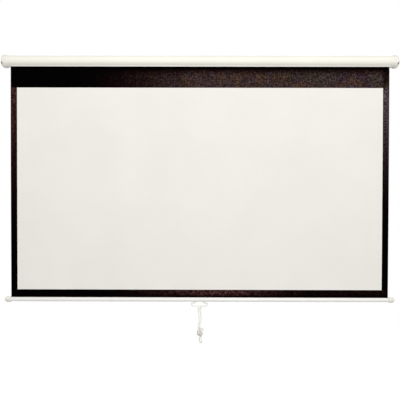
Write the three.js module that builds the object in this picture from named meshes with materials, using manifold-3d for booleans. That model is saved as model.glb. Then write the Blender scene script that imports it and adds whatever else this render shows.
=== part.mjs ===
// Manual pull-down projection screen on a spring roller, drawn down and locked. Lengths are in millimetres.
// X runs to the right, Y towards the wall and Z up. The origin is the middle of the case's flat back.
import * as THREE from 'three';
import { mergeVertices } from 'three/addons/utils/BufferGeometryUtils.js';
import Module from 'manifold-3d';

// Fits and cuts
const seatGap = 0.3;
const cutOverrun = 6;
const seamTolerance = 0.0001;

// Screen sheet
const pictureWidth = 2034;
const pictureHeight = 1125;
const sideBorder = 35;
const bottomBorder = 43;
const topDrop = 117.5;
const sheetThickness = 0.5;
const maskThickness = 0.2;

// Case shell and the lip along its slot
const caseHeight = 61;
const caseDepth = 69;
const caseWall = 1.5;
const caseNoseDepth = 31;
const caseBackRadius = 6;
const slotEndRoom = 4;
const slotRearDepth = 43;
const lipHeight = 10;
const lipRecess = 2.1;
const lipThickness = 1.6;
const lipTuck = 3;
const lipFootHeight = 1.6;
const lipDrop = 1;

// End caps
const caseEndRoom = 37;
const capPocketDepth = 15;
const capCollarLength = 16;
const capProud = 4.5;
const capWall = 2.5;
const capDomeLength = 17.5;
const capDomeDraw = 30;
const capBackDraw = 10;
const capLedge = 0.7;

// Cap screws and the slanting scoop that each sits in
const capScrewOut = 5.5;
const capScrewDrop = 16;
const capScrewRadius = 2;
const capScrewHeadRadius = 3.8;
const capScrewHeadHeight = 2.4;
const capScrewGrip = 12;
const scoopRadius = 4.6;
const scoopDepth = 14;
const scoopReach = 9;
const scoopRise = 11;
const scoopTipRadius = 2.2;
const scoopWall = 1.4;
const capBossLength = 6;
const crossWidth = 1;
const crossDepth = 1.2;
const crossLength = 4;

// End brackets, with a rear flange that hangs on a wall screw
const bracketThickness = 2;
const bracketSetback = 21;
const flangeLength = 58;
const flangeHeight = 28;
const keyholeIn = 30;
const keyEntryRadius = 5;
const keySlotRadius = 2.5;
const keySlotRise = 11;
const keyWindowMargin = 2;
const capLugLength = 31;
const capLugHeight = 8;

// Flush rivets through the case's back
const rivetRadius = 2;
const rivetHeadRadius = 3.5;
const rivetHeadHeight = 1.2;
const rivetNear = 10;
const rivetFar = 50;
const rivetSink = 0.2;

// Roller
const rollerAxisDepth = 30;
const rollerAxisRise = 6;
const rollerRadius = 18;
const rollerWall = 1.2;
const rollerEndRoom = 2;
const wrapThickness = 1;
const plugDepth = 20;
const plugFlange = 2;

// Fixed mandrel, spring and drum
const mandrelRadius = 4;
const mandrelEndRoom = 10;
const spadeHeight = 7;
const spadeThickness = 3;
const spadeReach = 4;
const spadeRoot = 6;
const collarRadius = 12;
const collarLength = 10;
const collarIn = 4;
const springRadius = 10;
const springWireRadius = 1.3;
const springLength = 234;
const springCurls = 26;
const drumLength = 20;

// Ratchet
const wheelRadius = 9;
const wheelThickness = 5;
const wheelSide = 0.5;
const notchCount = 4;
const notchDepth = 3.2;
const notchWidth = 6.5;
const pawlClearance = 0.5;
const pawlHeight = 4;
const pawlThickness = 4;
const pawlReach = 10;
const pawlToothWidth = 4;
const pawlToothDepth = 3.2;
const pawlPinRadius = 1.4;
const pawlSide = 1;
const pawlThrowDegrees = 24;
const pawlCount = 2;

// Gudgeon pin and bush at the free end
const gudgeonRadius = 4;
const gudgeonInside = 18;
const gudgeonReach = 4;
const bushWall = 3;
const bushFlangeRadius = 9.5;
const bushFlangeThickness = 1.6;

// Weight bar, hem rod and bar caps
const barRadius = 12;
const barWall = 1.5;
const barSlot = 3;
const hemRodRadius = 3;
const barCapEdgeRoom = 2;
const barCapRadius = 16;
const barCapLength = 34;
const barCapPocket = 18;
const barCapRim = 2.5;
const barCapEase = 3;

// Handle lugs under the bar
const lugPlace = 30;
const earThickness = 3;
const earRadius = 6;
const saddleThickness = 2;
const saddleInward = 13;
const saddleDegrees = 42;
const lugScrewInward = 8;
const lugScrewRadius = 1.6;
const lugScrewHeadRadius = 3;
const lugScrewHeadHeight = 1.4;
const lugScrewGrip = 6;

// Pull handle
const pivotDrop = 6.5;
const handleRodRadius = 2.75;
const handleHeadRadius = 4.2;
const handleHeadThickness = 1.5;
const stubInward = 5;
const stubOutward = 4;
const handleHalfWidth = 44;
const handleDrop = 18;
const handleBendShares = [
  [0.93, 0.09],
  [1, 0.36],
  [0.96, 0.68],
  [0.87, 0.93],
  [0.74, 1],
  [0.4, 1],
];
const tabTopHalf = 16;
const tabBottomHalf = 12.5;
const tabThickness = 5;
const windowHalf = 9.5;
const windowHeight = 4.5;
const crossbarRadius = 2.8;
const crossbarDrop = 30;

// Clip between the handle and the cord
const clipGap = 0.5;
const clipRing = 2.4;
const clipRingWidth = 6;
const clipHalfWidth = 9.5;
const clipDepth = 7;
const clipHeight = 5.5;

// Pull cord. Each point is to the right, towards the wall and up from the middle of the clip's underside.
// One strand runs down to the knot, through it, round the end loop and back through it, to the other strand.
const cordRadius = 2.75;
const cordDown = [
  [5.2, 0, 0],
  [7.4, -0.5, -19],
  [8.6, -1, -38],
  [8.6, -2, -55],
  [6.5, -3, -69],
];
const cordKnot = [
  [5, -2, -103],
  [13, -4.5, -120],
  [8, -5.5, -138],
  [-7, 6, -140],
  [-12, 8, -121],
  [2, -2, -113],
  [9, 4, -130],
  [-1, 8, -147],
  [-15.5, -2.5, -141],
  [-9, 0.5, -123.5],
  [6, 11.5, -118],
  [19.5, 6.5, -131],
  [9, 2, -151],
  [-5, 0, -160],
  [-3, 0, -172],
  [16, 0, -172],
  [21, 1, -160],
  [11.5, -3.5, -149],
  [19.5, 0, -130],
  [7, 5.5, -117],
  [-7.5, -5, -123.5],
  [-13, -7, -141.5],
  [1, 3, -149],
  [8.5, -1.5, -131],
  [-1, -7, -115],
  [-15, 3.5, -123],
  [-8.5, 0, -141],
  [6.5, -11, -138.5],
  [12, -9.5, -120],
  [5, -7.5, -102],
];
const cordUp = [
  [-2, -4.5, -69],
  [-0.6, -3, -55],
  [-1.2, -1.5, -38],
  [-3, -0.5, -19],
  [-5.2, 0, 0],
];

// The knot hangs turned about an upright line, drawn out in width and height and a little to the right.
const knotTurnDegrees = -70;
const knotTurnPlace = 3;
const knotSpread = 1.23;
const knotFoot = -152;
const knotStretch = 1.39;
const knotAside = 4;

// Facets
const noseSegments = 24;
const cornerSegments = 4;
const domeSteps = 7;
const roundSegments = 24;
const smallSegments = 14;
const rodSides = 10;
const handleSteps = 56;
const curlSteps = 8;
const curlSides = 5;
const cordSides = 8;
const cordSteps = 80;
const gapSamples = 1000;
const neighbourDiameters = 4;

// Places worked out from the sizes above
const sheetHalf = pictureWidth / 2 + sideBorder;
const caseHalfHeight = caseHeight / 2;
const noseCentre = caseDepth - caseNoseDepth;
const pictureTop = -(caseHalfHeight + topDrop);
const pictureBottom = pictureTop - pictureHeight;
const barTop = pictureBottom - bottomBorder;
const barAxis = barTop - barRadius;
const barBottom = barAxis - barRadius;
const creaseZ = -caseHalfHeight + lipHeight;
const shellHalf = sheetHalf + caseEndRoom;
const collarStart = shellHalf - capPocketDepth;
const collarEnd = collarStart + capCollarLength;
const bracketOuter = shellHalf - bracketSetback;
const bracketInner = bracketOuter - bracketThickness;
const slotHalf = sheetHalf + slotEndRoom;
const rollerHalf = sheetHalf + rollerEndRoom;
const wrapRadius = rollerRadius + seatGap + wrapThickness;
const sheetBack = -(rollerAxisDepth + wrapRadius + seatGap);
const sheetFront = sheetBack - sheetThickness;
const sheetMiddle = (sheetBack + sheetFront) / 2;
const pivotZ = barBottom - pivotDrop;
const clipAxisZ = pivotZ - crossbarDrop;

const wasm = await Module();
wasm.setup();

// Closes a geometry's seams, drops faces without area and turns all faces outwards.
function closed(geometry) {
  const bare = geometry.index ? geometry.toNonIndexed() : geometry.clone();
  bare.deleteAttribute('normal');
  bare.deleteAttribute('uv');
  const merged = mergeVertices(bare, seamTolerance);
  const kept = [];
  const index = merged.index.array;
  const point = merged.attributes.position;
  let volume = 0;
  const [a, b, c] = [new THREE.Vector3(), new THREE.Vector3(), new THREE.Vector3()];
  for (let i = 0; i < index.length; i += 3) {
    const [p, q, r] = [index[i], index[i + 1], index[i + 2]];
    if (p === q || q === r || r === p) {
      continue;
    }
    kept.push(p, q, r);
    a.fromBufferAttribute(point, p);
    b.fromBufferAttribute(point, q);
    c.fromBufferAttribute(point, r);
    volume += a.dot(b.cross(c));
  }
  merged.setIndex(volume < 0 ? kept.reverse() : kept);
  return merged;
}

function solid(geometry) {
  const shut = closed(geometry);
  const vertProperties = new Float32Array(shut.attributes.position.array);
  const triVerts = new Uint32Array(shut.index.array);
  return new wasm.Manifold(new wasm.Mesh({ numProp: 3, vertProperties, triVerts }));
}

function geometryOf(manifold) {
  const mesh = manifold.getMesh();
  const geometry = new THREE.BufferGeometry();
  geometry.setAttribute('position', new THREE.BufferAttribute(mesh.vertProperties, 3));
  geometry.setIndex(new THREE.BufferAttribute(mesh.triVerts, 1));
  return geometry;
}

function joined(...geometries) {
  return geometryOf(geometries.map(solid).reduce((whole, piece) => whole.add(piece)));
}

function cut(geometry, ...cutters) {
  return geometryOf(cutters.map(solid).reduce((rest, cutter) => rest.subtract(cutter), solid(geometry)));
}

// A piece for the right end as it is, or mirrored for the left end.
function atEnd(side, geometry) {
  return closed(geometry.clone().scale(side, 1, 1));
}

function box(x0, x1, y0, y1, z0, z1) {
  const geometry = new THREE.BoxGeometry(x1 - x0, y1 - y0, z1 - z0);
  return geometry.translate((x0 + x1) / 2, (y0 + y1) / 2, (z0 + z1) / 2);
}

// Points of a circle or arc round (across, up), from one angle to another.
function arc(across, up, radius, from, to, segments) {
  const points = [];
  for (let i = 0; i <= segments; i += 1) {
    const angle = from + ((to - from) * i) / segments;
    points.push([across + radius * Math.cos(angle), up + radius * Math.sin(angle)]);
  }
  return points;
}

function circle(across, up, radius, segments) {
  return arc(across, up, radius, 0, 2 * Math.PI, segments).slice(1);
}

function shapeOf(points, ...holes) {
  const shape = new THREE.Shape(points.map(([u, v]) => new THREE.Vector2(u, v)));
  shape.holes = holes.map((hole) => new THREE.Path(hole.map(([u, v]) => new THREE.Vector2(u, v))));
  return shape;
}

// Extrudes an outline of (Y, Z) points along X.
function alongX(points, x0, x1, ...holes) {
  const sizes = { depth: x1 - x0, bevelEnabled: false };
  const geometry = new THREE.ExtrudeGeometry(shapeOf(points, ...holes), sizes);
  const turn = new THREE.Matrix4().makeBasis(
    new THREE.Vector3(0, 1, 0),
    new THREE.Vector3(0, 0, 1),
    new THREE.Vector3(1, 0, 0),
  );
  return geometry.applyMatrix4(turn).translate(x0, 0, 0);
}

// Extrudes an outline of (X, Z) points along Y, from y0 back to y1.
function alongY(points, y0, y1) {
  const geometry = new THREE.ExtrudeGeometry(shapeOf(points), { depth: y1 - y0, bevelEnabled: false });
  return geometry.rotateX(Math.PI / 2).translate(0, y1, 0);
}

function alongZ(points, z0, z1) {
  const geometry = new THREE.ExtrudeGeometry(shapeOf(points), { depth: z1 - z0, bevelEnabled: false });
  return geometry.translate(0, 0, z0);
}

// Turns a profile of (place along X, radius) points about an axis along X at (y, z).
function turned(profile, y, z, segments) {
  const outline = profile.map(([along, r]) => new THREE.Vector2(r, along));
  const geometry = new THREE.LatheGeometry(outline, segments);
  return closed(geometry.rotateZ(-Math.PI / 2).translate(0, y, z));
}

function rodAlongX(x0, x1, y, z, radius, segments) {
  return alongX(circle(y, z, radius, segments), x0, x1);
}

function pipeAlongX(x0, x1, y, z, outer, inner, segments) {
  return alongX(circle(y, z, outer, segments), x0, x1, circle(y, z, inner, segments));
}

function swept(path, radius, sides, steps) {
  return new THREE.ExtrudeGeometry(shapeOf(circle(0, 0, radius, sides)), {
    steps,
    extrudePath: path,
    bevelEnabled: false,
  });
}

// The case's D outline drawn in by an inset: flat at the back, an ellipse at the front.
function caseOutline(inset, backInset = inset) {
  const half = caseHalfHeight - inset;
  const nose = caseNoseDepth - inset;
  const corner = Math.max(caseBackRadius - inset, seatGap);
  const points = [];
  for (let i = 0; i <= noseSegments; i += 1) {
    const angle = Math.PI / 2 + (Math.PI * i) / noseSegments;
    points.push([-noseCentre + nose * Math.cos(angle), half * Math.sin(angle)]);
  }
  points.push(...arc(-backInset - corner, corner - half, corner, -Math.PI / 2, 0, cornerSegments));
  points.push(...arc(-backInset - corner, half - corner, corner, 0, Math.PI / 2, cornerSegments));
  return points;
}

// How far forward the drawn-in outline's front lies at a height.
function caseFront(inset, z) {
  const rise = z / (caseHalfHeight - inset);
  return -noseCentre - (caseNoseDepth - inset) * Math.sqrt(1 - rise * rise);
}

// A closed body through outlines that have equal counts of points, each at its own place along X.
function lofted(rings) {
  const count = rings[0].outline.length;
  const points = [];
  const faces = [];
  for (const { x, outline } of rings) {
    outline.forEach(([y, z]) => points.push(x, y, z));
  }
  for (let k = 0; k + 1 < rings.length; k += 1) {
    for (let i = 0; i < count; i += 1) {
      const [a, b] = [k * count + i, k * count + ((i + 1) % count)];
      faces.push(a, b, b + count, a, b + count, a + count);
    }
  }
  const endOutline = rings[0].outline.map(([y, z]) => new THREE.Vector2(y, z));
  const flat = THREE.ShapeUtils.triangulateShape(endOutline, []);
  const last = (rings.length - 1) * count;
  for (const [a, b, c] of flat) {
    faces.push(a, c, b, last + a, last + b, last + c);
  }
  const geometry = new THREE.BufferGeometry();
  geometry.setAttribute('position', new THREE.Float32BufferAttribute(points, 3));
  geometry.setIndex(faces);
  return geometry;
}

// Rings of a dome that starts at the collar's end and draws in towards its tip.
function domeRings(firstInset, draw, firstBack, backDraw, length) {
  const rings = [];
  for (let i = 0; i <= domeSteps; i += 1) {
    const angle = ((Math.PI / 2) * i) / domeSteps;
    const share = 1 - Math.cos(angle);
    const outline = caseOutline(firstInset + draw * share, firstBack + backDraw * share);
    rings.push({ x: collarEnd + length * Math.sin(angle), outline });
  }
  return rings;
}

const screen = new THREE.Group();

function add(name, geometry, color, roughness, metalness = 0) {
  const material = new THREE.MeshStandardMaterial({ color, roughness, metalness });
  const mesh = new THREE.Mesh(closed(geometry), material);
  mesh.name = name;
  mesh.geometry.computeVertexNormals();
  screen.add(mesh);
}

const caseWhite = '#efeee6';
const capWhite = '#eceae0';
const trimWhite = '#dcdad4';
const sheetWhite = '#eeebe2';
const maskBlack = '#0b090a';
const steelGrey = '#9a9da1';
const darkSteel = '#4a4c50';
const zincGrey = '#b7babd';
const nylonWhite = '#d9d8d0';
const barWhite = '#f0f0ee';
const handleWhite = '#f1f1ec';
const cordWhite = '#e4e1d6';

// The rivets and the keyhole of the right bracket, and the depth of its flange behind the case's back wall.
const rivetPlaces = [bracketInner - rivetNear, bracketInner - rivetFar];
const keyholeX = bracketInner - keyholeIn;
const flangeBack = -(caseWall + seatGap);
const flangeFront = flangeBack - bracketThickness;

// An upright keyhole outline: a round entry below, a narrow slot above it.
function keyhole(x, entryRadius, slotRadius) {
  const low = -keySlotRise / 2;
  const high = keySlotRise / 2;
  const neck = Math.asin(slotRadius / entryRadius);
  const entry = arc(x, low, entryRadius, Math.PI / 2 + neck, 2.5 * Math.PI - neck, smallSegments);
  return [...entry, ...arc(x, high, slotRadius, 0, Math.PI, smallSegments / 2)];
}

function caseShell() {
  const pipe = alongX(caseOutline(0), -shellHalf, shellHalf, caseOutline(caseWall));
  const low = -caseHalfHeight - cutOverrun;
  const slot = box(-slotHalf, slotHalf, -caseDepth - cutOverrun, -slotRearDepth, low, creaseZ);
  const cutters = [slot];
  for (const side of [-1, 1]) {
    const window = keyhole(side * keyholeX, keyEntryRadius + keyWindowMargin, keyEntryRadius);
    cutters.push(alongY(window, -caseWall - cutOverrun / 4, cutOverrun));
    for (const x of rivetPlaces) {
      const hole = circle(side * x, 0, rivetRadius + seatGap, smallSegments);
      cutters.push(alongY(hole, -caseWall - cutOverrun / 4, cutOverrun));
    }
  }
  return cut(pipe, ...cutters);
}

// The strip that closes the slot's front: it hangs below the crease and hooks behind the case wall.
function slotLip() {
  const front = caseFront(0, creaseZ) + lipRecess;
  const back = front + lipThickness;
  const top = creaseZ + lipTuck;
  const footLow = top - lipFootHeight;
  const low = -caseHalfHeight - lipDrop;
  const outline = [
    [back, low],
    [back, top],
    [caseFront(caseWall, footLow) + seatGap, top],
    [caseFront(caseWall, footLow) + seatGap, footLow],
    [front, footLow - lipFootHeight / 2],
    [front, low],
  ];
  return alongX(outline, -slotHalf + seatGap, slotHalf - seatGap);
}

// Where the cap screw sits, and how far the dome is drawn in there.
const capScrewX = collarEnd + capScrewOut;
const capScrewZ = -capScrewDrop;
const capScrewShare = 1 - Math.sqrt(1 - (capScrewOut / capDomeLength) ** 2);
const domeFront = caseFront(-capProud + capDomeDraw * capScrewShare, capScrewZ);
const scoopFloor = domeFront + scoopDepth;
const bossEnd = scoopFloor + capBossLength;

// The scoop's outline, grown by a wall: round about the screw, narrowing up and out to its tip.
function scoop(wall, y0, y1) {
  const round = circle(capScrewX, capScrewZ, scoopRadius + wall, smallSegments);
  const tip = circle(capScrewX + scoopReach, capScrewZ + scoopRise, scoopTipRadius + wall, smallSegments);
  return wasm.Manifold.hull([solid(alongY(round, y0, y1)), solid(alongY(tip, y0, y1))]);
}

function endCap() {
  const collar = alongX(caseOutline(-capProud, 0), collarStart, collarEnd);
  const dome = lofted(domeRings(-capProud, capDomeDraw, 0, capBackDraw, capDomeLength));
  const outside = solid(collar).add(solid(dome));
  const pocket = alongX(caseOutline(-seatGap, -cutOverrun), collarStart - cutOverrun, shellHalf + seatGap);
  const innerInset = caseWall + capLedge;
  const innerDraw = capDomeDraw - capProud;
  const throat = alongX(caseOutline(innerInset, capWall), shellHalf, collarEnd);
  const hollow = lofted(domeRings(innerInset, innerDraw, capWall, capBackDraw, capDomeLength - capWall));
  const hole = circle(capScrewX, capScrewZ, capScrewRadius + seatGap, smallSegments);
  const body = outside
    .subtract(solid(pocket))
    .subtract(solid(throat).add(solid(hollow)))
    .add(outside.intersect(scoop(scoopWall, domeFront - cutOverrun, bossEnd)))
    .subtract(scoop(0, domeFront - caseNoseDepth, scoopFloor))
    .subtract(solid(alongY(hole, scoopFloor - cutOverrun / 2, bossEnd + cutOverrun / 2)));
  return geometryOf(body);
}

// A pan-head screw along Y: its head's flat underside is at y, and it has a cross recess.
function screwAlongY(x, y, z, sizes) {
  const head = alongY(circle(x, z, sizes.headRadius, smallSegments), y - sizes.headHeight, y);
  const shank = alongY(circle(x, z, sizes.radius, smallSegments), y, y + sizes.grip);
  const face = y - sizes.headHeight;
  const upright = box(
    x - crossWidth / 2, x + crossWidth / 2, face - cutOverrun, face + crossDepth,
    z - crossLength / 2, z + crossLength / 2,
  );
  const level = box(
    x - crossLength / 2, x + crossLength / 2, face - cutOverrun, face + crossDepth,
    z - crossWidth / 2, z + crossWidth / 2,
  );
  return cut(joined(head, shank), upright, level);
}

function endBracket(shaftHole) {
  const plate = alongX(caseOutline(caseWall + seatGap), bracketInner, bracketOuter);
  const flange = box(
    bracketInner - flangeLength, bracketOuter, flangeFront, flangeBack, -flangeHeight / 2, flangeHeight / 2,
  );
  const lugFront = bossEnd + seatGap;
  const lug = box(
    bracketInner, bracketOuter + capLugLength, lugFront, lugFront + bracketThickness,
    capScrewZ - capLugHeight / 2, capScrewZ + capLugHeight / 2,
  );
  const front = flangeFront - cutOverrun;
  const holes = rivetPlaces.map((x) => circle(x, 0, rivetRadius + seatGap, smallSegments));
  holes.push(keyhole(keyholeX, keyEntryRadius, keySlotRadius));
  const flangeCutters = holes.map((hole) => alongY(hole, front, flangeBack + seatGap));
  const pilot = circle(capScrewX, capScrewZ, capScrewRadius + seatGap, smallSegments);
  const pilotCutter = alongY(pilot, lugFront - seatGap, lugFront + bracketThickness + cutOverrun);
  return cut(joined(plate, flange, lug), shaftHole, pilotCutter, ...flangeCutters);
}

function rivet(x) {
  const under = flangeFront - seatGap;
  const head = alongY(circle(x, 0, rivetHeadRadius, smallSegments), under - rivetHeadHeight, under);
  const shank = alongY(circle(x, 0, rivetRadius, smallSegments), under, -rivetSink);
  return joined(head, shank);
}

const rollerY = -rollerAxisDepth;
const rollerZ = rollerAxisRise;

function rollerPlug(boreRadius) {
  const inside = rollerRadius - rollerWall - seatGap;
  const bore = boreRadius + seatGap;
  return turned(
    [
      [rollerHalf - plugDepth, bore],
      [rollerHalf - plugDepth, inside],
      [rollerHalf + seatGap, inside],
      [rollerHalf + seatGap, rollerRadius],
      [rollerHalf + plugFlange, rollerRadius],
      [rollerHalf + plugFlange, bore],
      [rollerHalf - plugDepth, bore],
    ],
    rollerY, rollerZ, roundSegments,
  );
}

// Places along X of the ratchet, collar, spring and drum, counted at the right and mirrored to the left.
const pawlInner = rollerHalf + plugFlange + pawlSide;
const wheelInner = pawlInner - wheelSide;
const collarOuter = rollerHalf - plugDepth - collarIn;
const collarInner = collarOuter - collarLength;
const drumOuter = collarInner - springLength;
const drumInner = drumOuter - drumLength;

function mandrel() {
  const rod = rodAlongX(
    drumInner - mandrelEndRoom, bracketInner - seatGap, rollerY, rollerZ, mandrelRadius, smallSegments,
  );
  const spade = box(
    bracketInner - spadeRoot, bracketOuter + spadeReach,
    rollerY - spadeThickness / 2, rollerY + spadeThickness / 2,
    rollerZ - spadeHeight / 2, rollerZ + spadeHeight / 2,
  );
  return joined(rod, spade);
}

function ratchetWheel() {
  const disc = pipeAlongX(
    wheelInner, wheelInner + wheelThickness, rollerY, rollerZ, wheelRadius, mandrelRadius + seatGap,
    roundSegments,
  );
  const notches = [];
  for (let i = 0; i < notchCount; i += 1) {
    const notch = box(
      wheelInner - cutOverrun, wheelInner + wheelThickness + cutOverrun,
      -notchWidth / 2, notchWidth / 2, wheelRadius - notchDepth, wheelRadius + cutOverrun,
    );
    notches.push(notch.rotateX((2 * Math.PI * i) / notchCount).translate(0, rollerY, rollerZ));
  }
  return cut(disc, ...notches);
}

const pawlPinY = -pawlReach;
const pawlPinZ = wheelRadius + pawlClearance + pawlHeight / 2;

// Moves a piece made about the roller's axis to one of the two pawl places.
function atPawl(index, geometry) {
  return geometry.rotateX((2 * Math.PI * index) / pawlCount).translate(0, rollerY, rollerZ);
}

// A pawl drawn in mesh with the wheel's upper notch, then thrown clear about its pin.
function pawl(index) {
  const under = wheelRadius + pawlClearance;
  const over = under + pawlHeight;
  const tip = under - pawlToothDepth;
  const nose = pawlToothWidth / 2;
  const eye = arc(pawlPinY, pawlPinZ, pawlHeight / 2, Math.PI / 2, 1.5 * Math.PI, smallSegments / 2);
  const outline = [...eye, [-nose, under], [-nose, tip], [nose, tip], [nose, over]];
  const hole = circle(pawlPinY, pawlPinZ, pawlPinRadius + seatGap / 2, smallSegments);
  const blank = alongX(outline, pawlInner, pawlInner + pawlThickness, hole);
  blank.translate(0, -pawlPinY, -pawlPinZ).rotateX(THREE.MathUtils.degToRad(pawlThrowDegrees));
  return atPawl(index, blank.translate(0, pawlPinY, pawlPinZ));
}

function pawlPin(index) {
  const inner = rollerHalf + plugFlange - plugDepth / 2;
  const outer = pawlInner + pawlThickness + seatGap;
  const shank = rodAlongX(inner, outer, pawlPinY, pawlPinZ, pawlPinRadius, smallSegments);
  return atPawl(index, shank);
}

// The left plug also holds both pawl pins.
function ratchetPlug() {
  const pinHoles = [];
  for (let i = 0; i < pawlCount; i += 1) {
    const inner = rollerHalf + plugFlange - plugDepth / 2 - seatGap;
    const radius = pawlPinRadius + seatGap / 2;
    const hole = rodAlongX(inner, rollerHalf + cutOverrun, pawlPinY, pawlPinZ, radius, smallSegments);
    pinHoles.push(atPawl(i, hole));
  }
  return cut(rollerPlug(mandrelRadius), ...pinHoles);
}

// The least gap between a tube's stretches that lie at least four diameters apart along it.
function leastGap(curve, radius) {
  const points = curve.getSpacedPoints(gapSamples);
  const apart = Math.ceil((neighbourDiameters * 2 * radius * gapSamples) / curve.getLength());
  let least = Infinity;
  for (let i = 0; i < points.length; i += 1) {
    for (let k = i + apart; k < points.length; k += 1) {
      least = Math.min(least, points[i].distanceTo(points[k]));
    }
  }
  return least - 2 * radius;
}

class Helix extends THREE.Curve {
  constructor(from, to, radius, turns) {
    super();
    Object.assign(this, { from, to, radius, turns });
  }

  getPoint(t, target = new THREE.Vector3()) {
    const angle = 2 * Math.PI * this.turns * t;
    const x = this.from + (this.to - this.from) * t;
    return target.set(x, rollerY + this.radius * Math.cos(angle), rollerZ + this.radius * Math.sin(angle));
  }
}

function torsionSpring() {
  const room = springWireRadius + seatGap;
  const helix = new Helix(drumOuter + room, collarInner - room, springRadius, springCurls);
  const points = helix.getPoints(curlSteps * springCurls);
  const perCurl = points[curlSteps].distanceTo(points[0]) - 2 * springWireRadius;
  console.log('least gap between the curls of the torsion spring: ' + perCurl.toFixed(2) + ' mm');
  return swept(helix, springWireRadius, curlSides, curlSteps * springCurls);
}

// Weight bar: a round tube with a slot along its top for the hem.
function weightBar() {
  const half = sheetHalf + barCapEdgeRoom + barCapPocket - seatGap;
  const inner = barRadius - barWall;
  const outside = Math.asin(barSlot / 2 / barRadius);
  const inside = Math.asin(barSlot / 2 / inner);
  const up = Math.PI / 2;
  const outline = [
    ...arc(sheetMiddle, barAxis, barRadius, up + outside, up + 2 * Math.PI - outside, roundSegments),
    ...arc(sheetMiddle, barAxis, inner, up + 2 * Math.PI - inside, up + inside, roundSegments),
  ];
  return alongX(outline, -half, half);
}

// The hem's loop hangs on the slot's two inner edges.
const hemInner = hemRodRadius + seatGap;
const hemOuter = hemInner + sheetThickness;
const slotEdgeRise = Math.sqrt((barRadius - barWall) ** 2 - (barSlot / 2) ** 2);
const hemDrop = Math.sqrt((hemOuter + seatGap) ** 2 - (barSlot / 2) ** 2);
const hemAxis = barAxis + slotEdgeRise - hemDrop;

// The sheet's black lower border, from the picture's edge down into the bar, with a loop for the hem rod.
function hemBorder() {
  const neck = Math.asin(sheetThickness / 2 / hemOuter);
  const up = Math.PI / 2;
  const outline = [
    [sheetFront, pictureBottom],
    ...arc(sheetMiddle, hemAxis, hemOuter, up + neck, up + 2 * Math.PI - neck, smallSegments),
    [sheetBack, pictureBottom],
  ];
  return alongX(outline, -sheetHalf, sheetHalf, circle(sheetMiddle, hemAxis, hemInner, smallSegments));
}

function barCap() {
  const start = sheetHalf + barCapEdgeRoom;
  const pocket = barRadius + seatGap;
  const profile = [
    [start + barCapPocket, 0],
    [start + barCapPocket, pocket],
    [start, pocket],
    [start, pocket + barCapRim],
    [start + barCapEase, barCapRadius],
  ];
  const roundStart = start + barCapLength - barCapRadius;
  profile.push(...arc(roundStart, 0, barCapRadius, Math.PI / 2, 0, 2 * domeSteps));
  profile[profile.length - 1][1] = 0;
  return turned(profile, sheetMiddle, barAxis, roundSegments);
}

function handleLug() {
  const saddleTop = barRadius + seatGap;
  const saddleLow = saddleTop + saddleThickness;
  const half = THREE.MathUtils.degToRad(saddleDegrees);
  const down = -Math.PI / 2;
  const saddle = [
    ...arc(sheetMiddle, barAxis, saddleLow, down - half, down + half, smallSegments),
    ...arc(sheetMiddle, barAxis, saddleTop, down + half, down - half, smallSegments),
  ];
  const [earInner, earOuter] = [lugPlace - earThickness / 2, lugPlace + earThickness / 2];
  const neckTop = barAxis - saddleTop - saddleThickness / 2;
  const ear = [
    ...arc(sheetMiddle, pivotZ, earRadius, Math.PI, 2 * Math.PI, smallSegments),
    [sheetMiddle + earRadius, neckTop],
    [sheetMiddle - earRadius, neckTop],
  ];
  const eye = circle(sheetMiddle, pivotZ, handleRodRadius + seatGap, smallSegments);
  const screwX = lugPlace - lugScrewInward;
  const screwHole = circle(screwX, sheetMiddle, lugScrewRadius + seatGap, smallSegments);
  return cut(
    joined(alongX(saddle, lugPlace - saddleInward, earOuter), alongX(ear, earInner, earOuter)),
    alongX(eye, earInner - cutOverrun, earOuter + cutOverrun),
    alongZ(screwHole, barBottom - cutOverrun, barBottom + seatGap),
  );
}

function lugScrew() {
  const x = lugPlace - lugScrewInward;
  const under = barBottom - seatGap - saddleThickness - seatGap;
  const rim = circle(x, sheetMiddle, lugScrewHeadRadius, smallSegments);
  const head = alongZ(rim, under - lugScrewHeadHeight, under);
  const shank = alongZ(circle(x, sheetMiddle, lugScrewRadius, smallSegments), under, under + lugScrewGrip);
  return joined(head, shank);
}

// The bar with a clearance hole for each lug screw.
function drilledBar() {
  const holes = [-1, 1].map((side) => {
    const x = side * (lugPlace - lugScrewInward);
    const rim = circle(x, sheetMiddle, lugScrewRadius + seatGap, smallSegments);
    return alongZ(rim, barBottom - cutOverrun, barBottom + barWall + seatGap);
  });
  return cut(weightBar(), ...holes);
}

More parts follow.
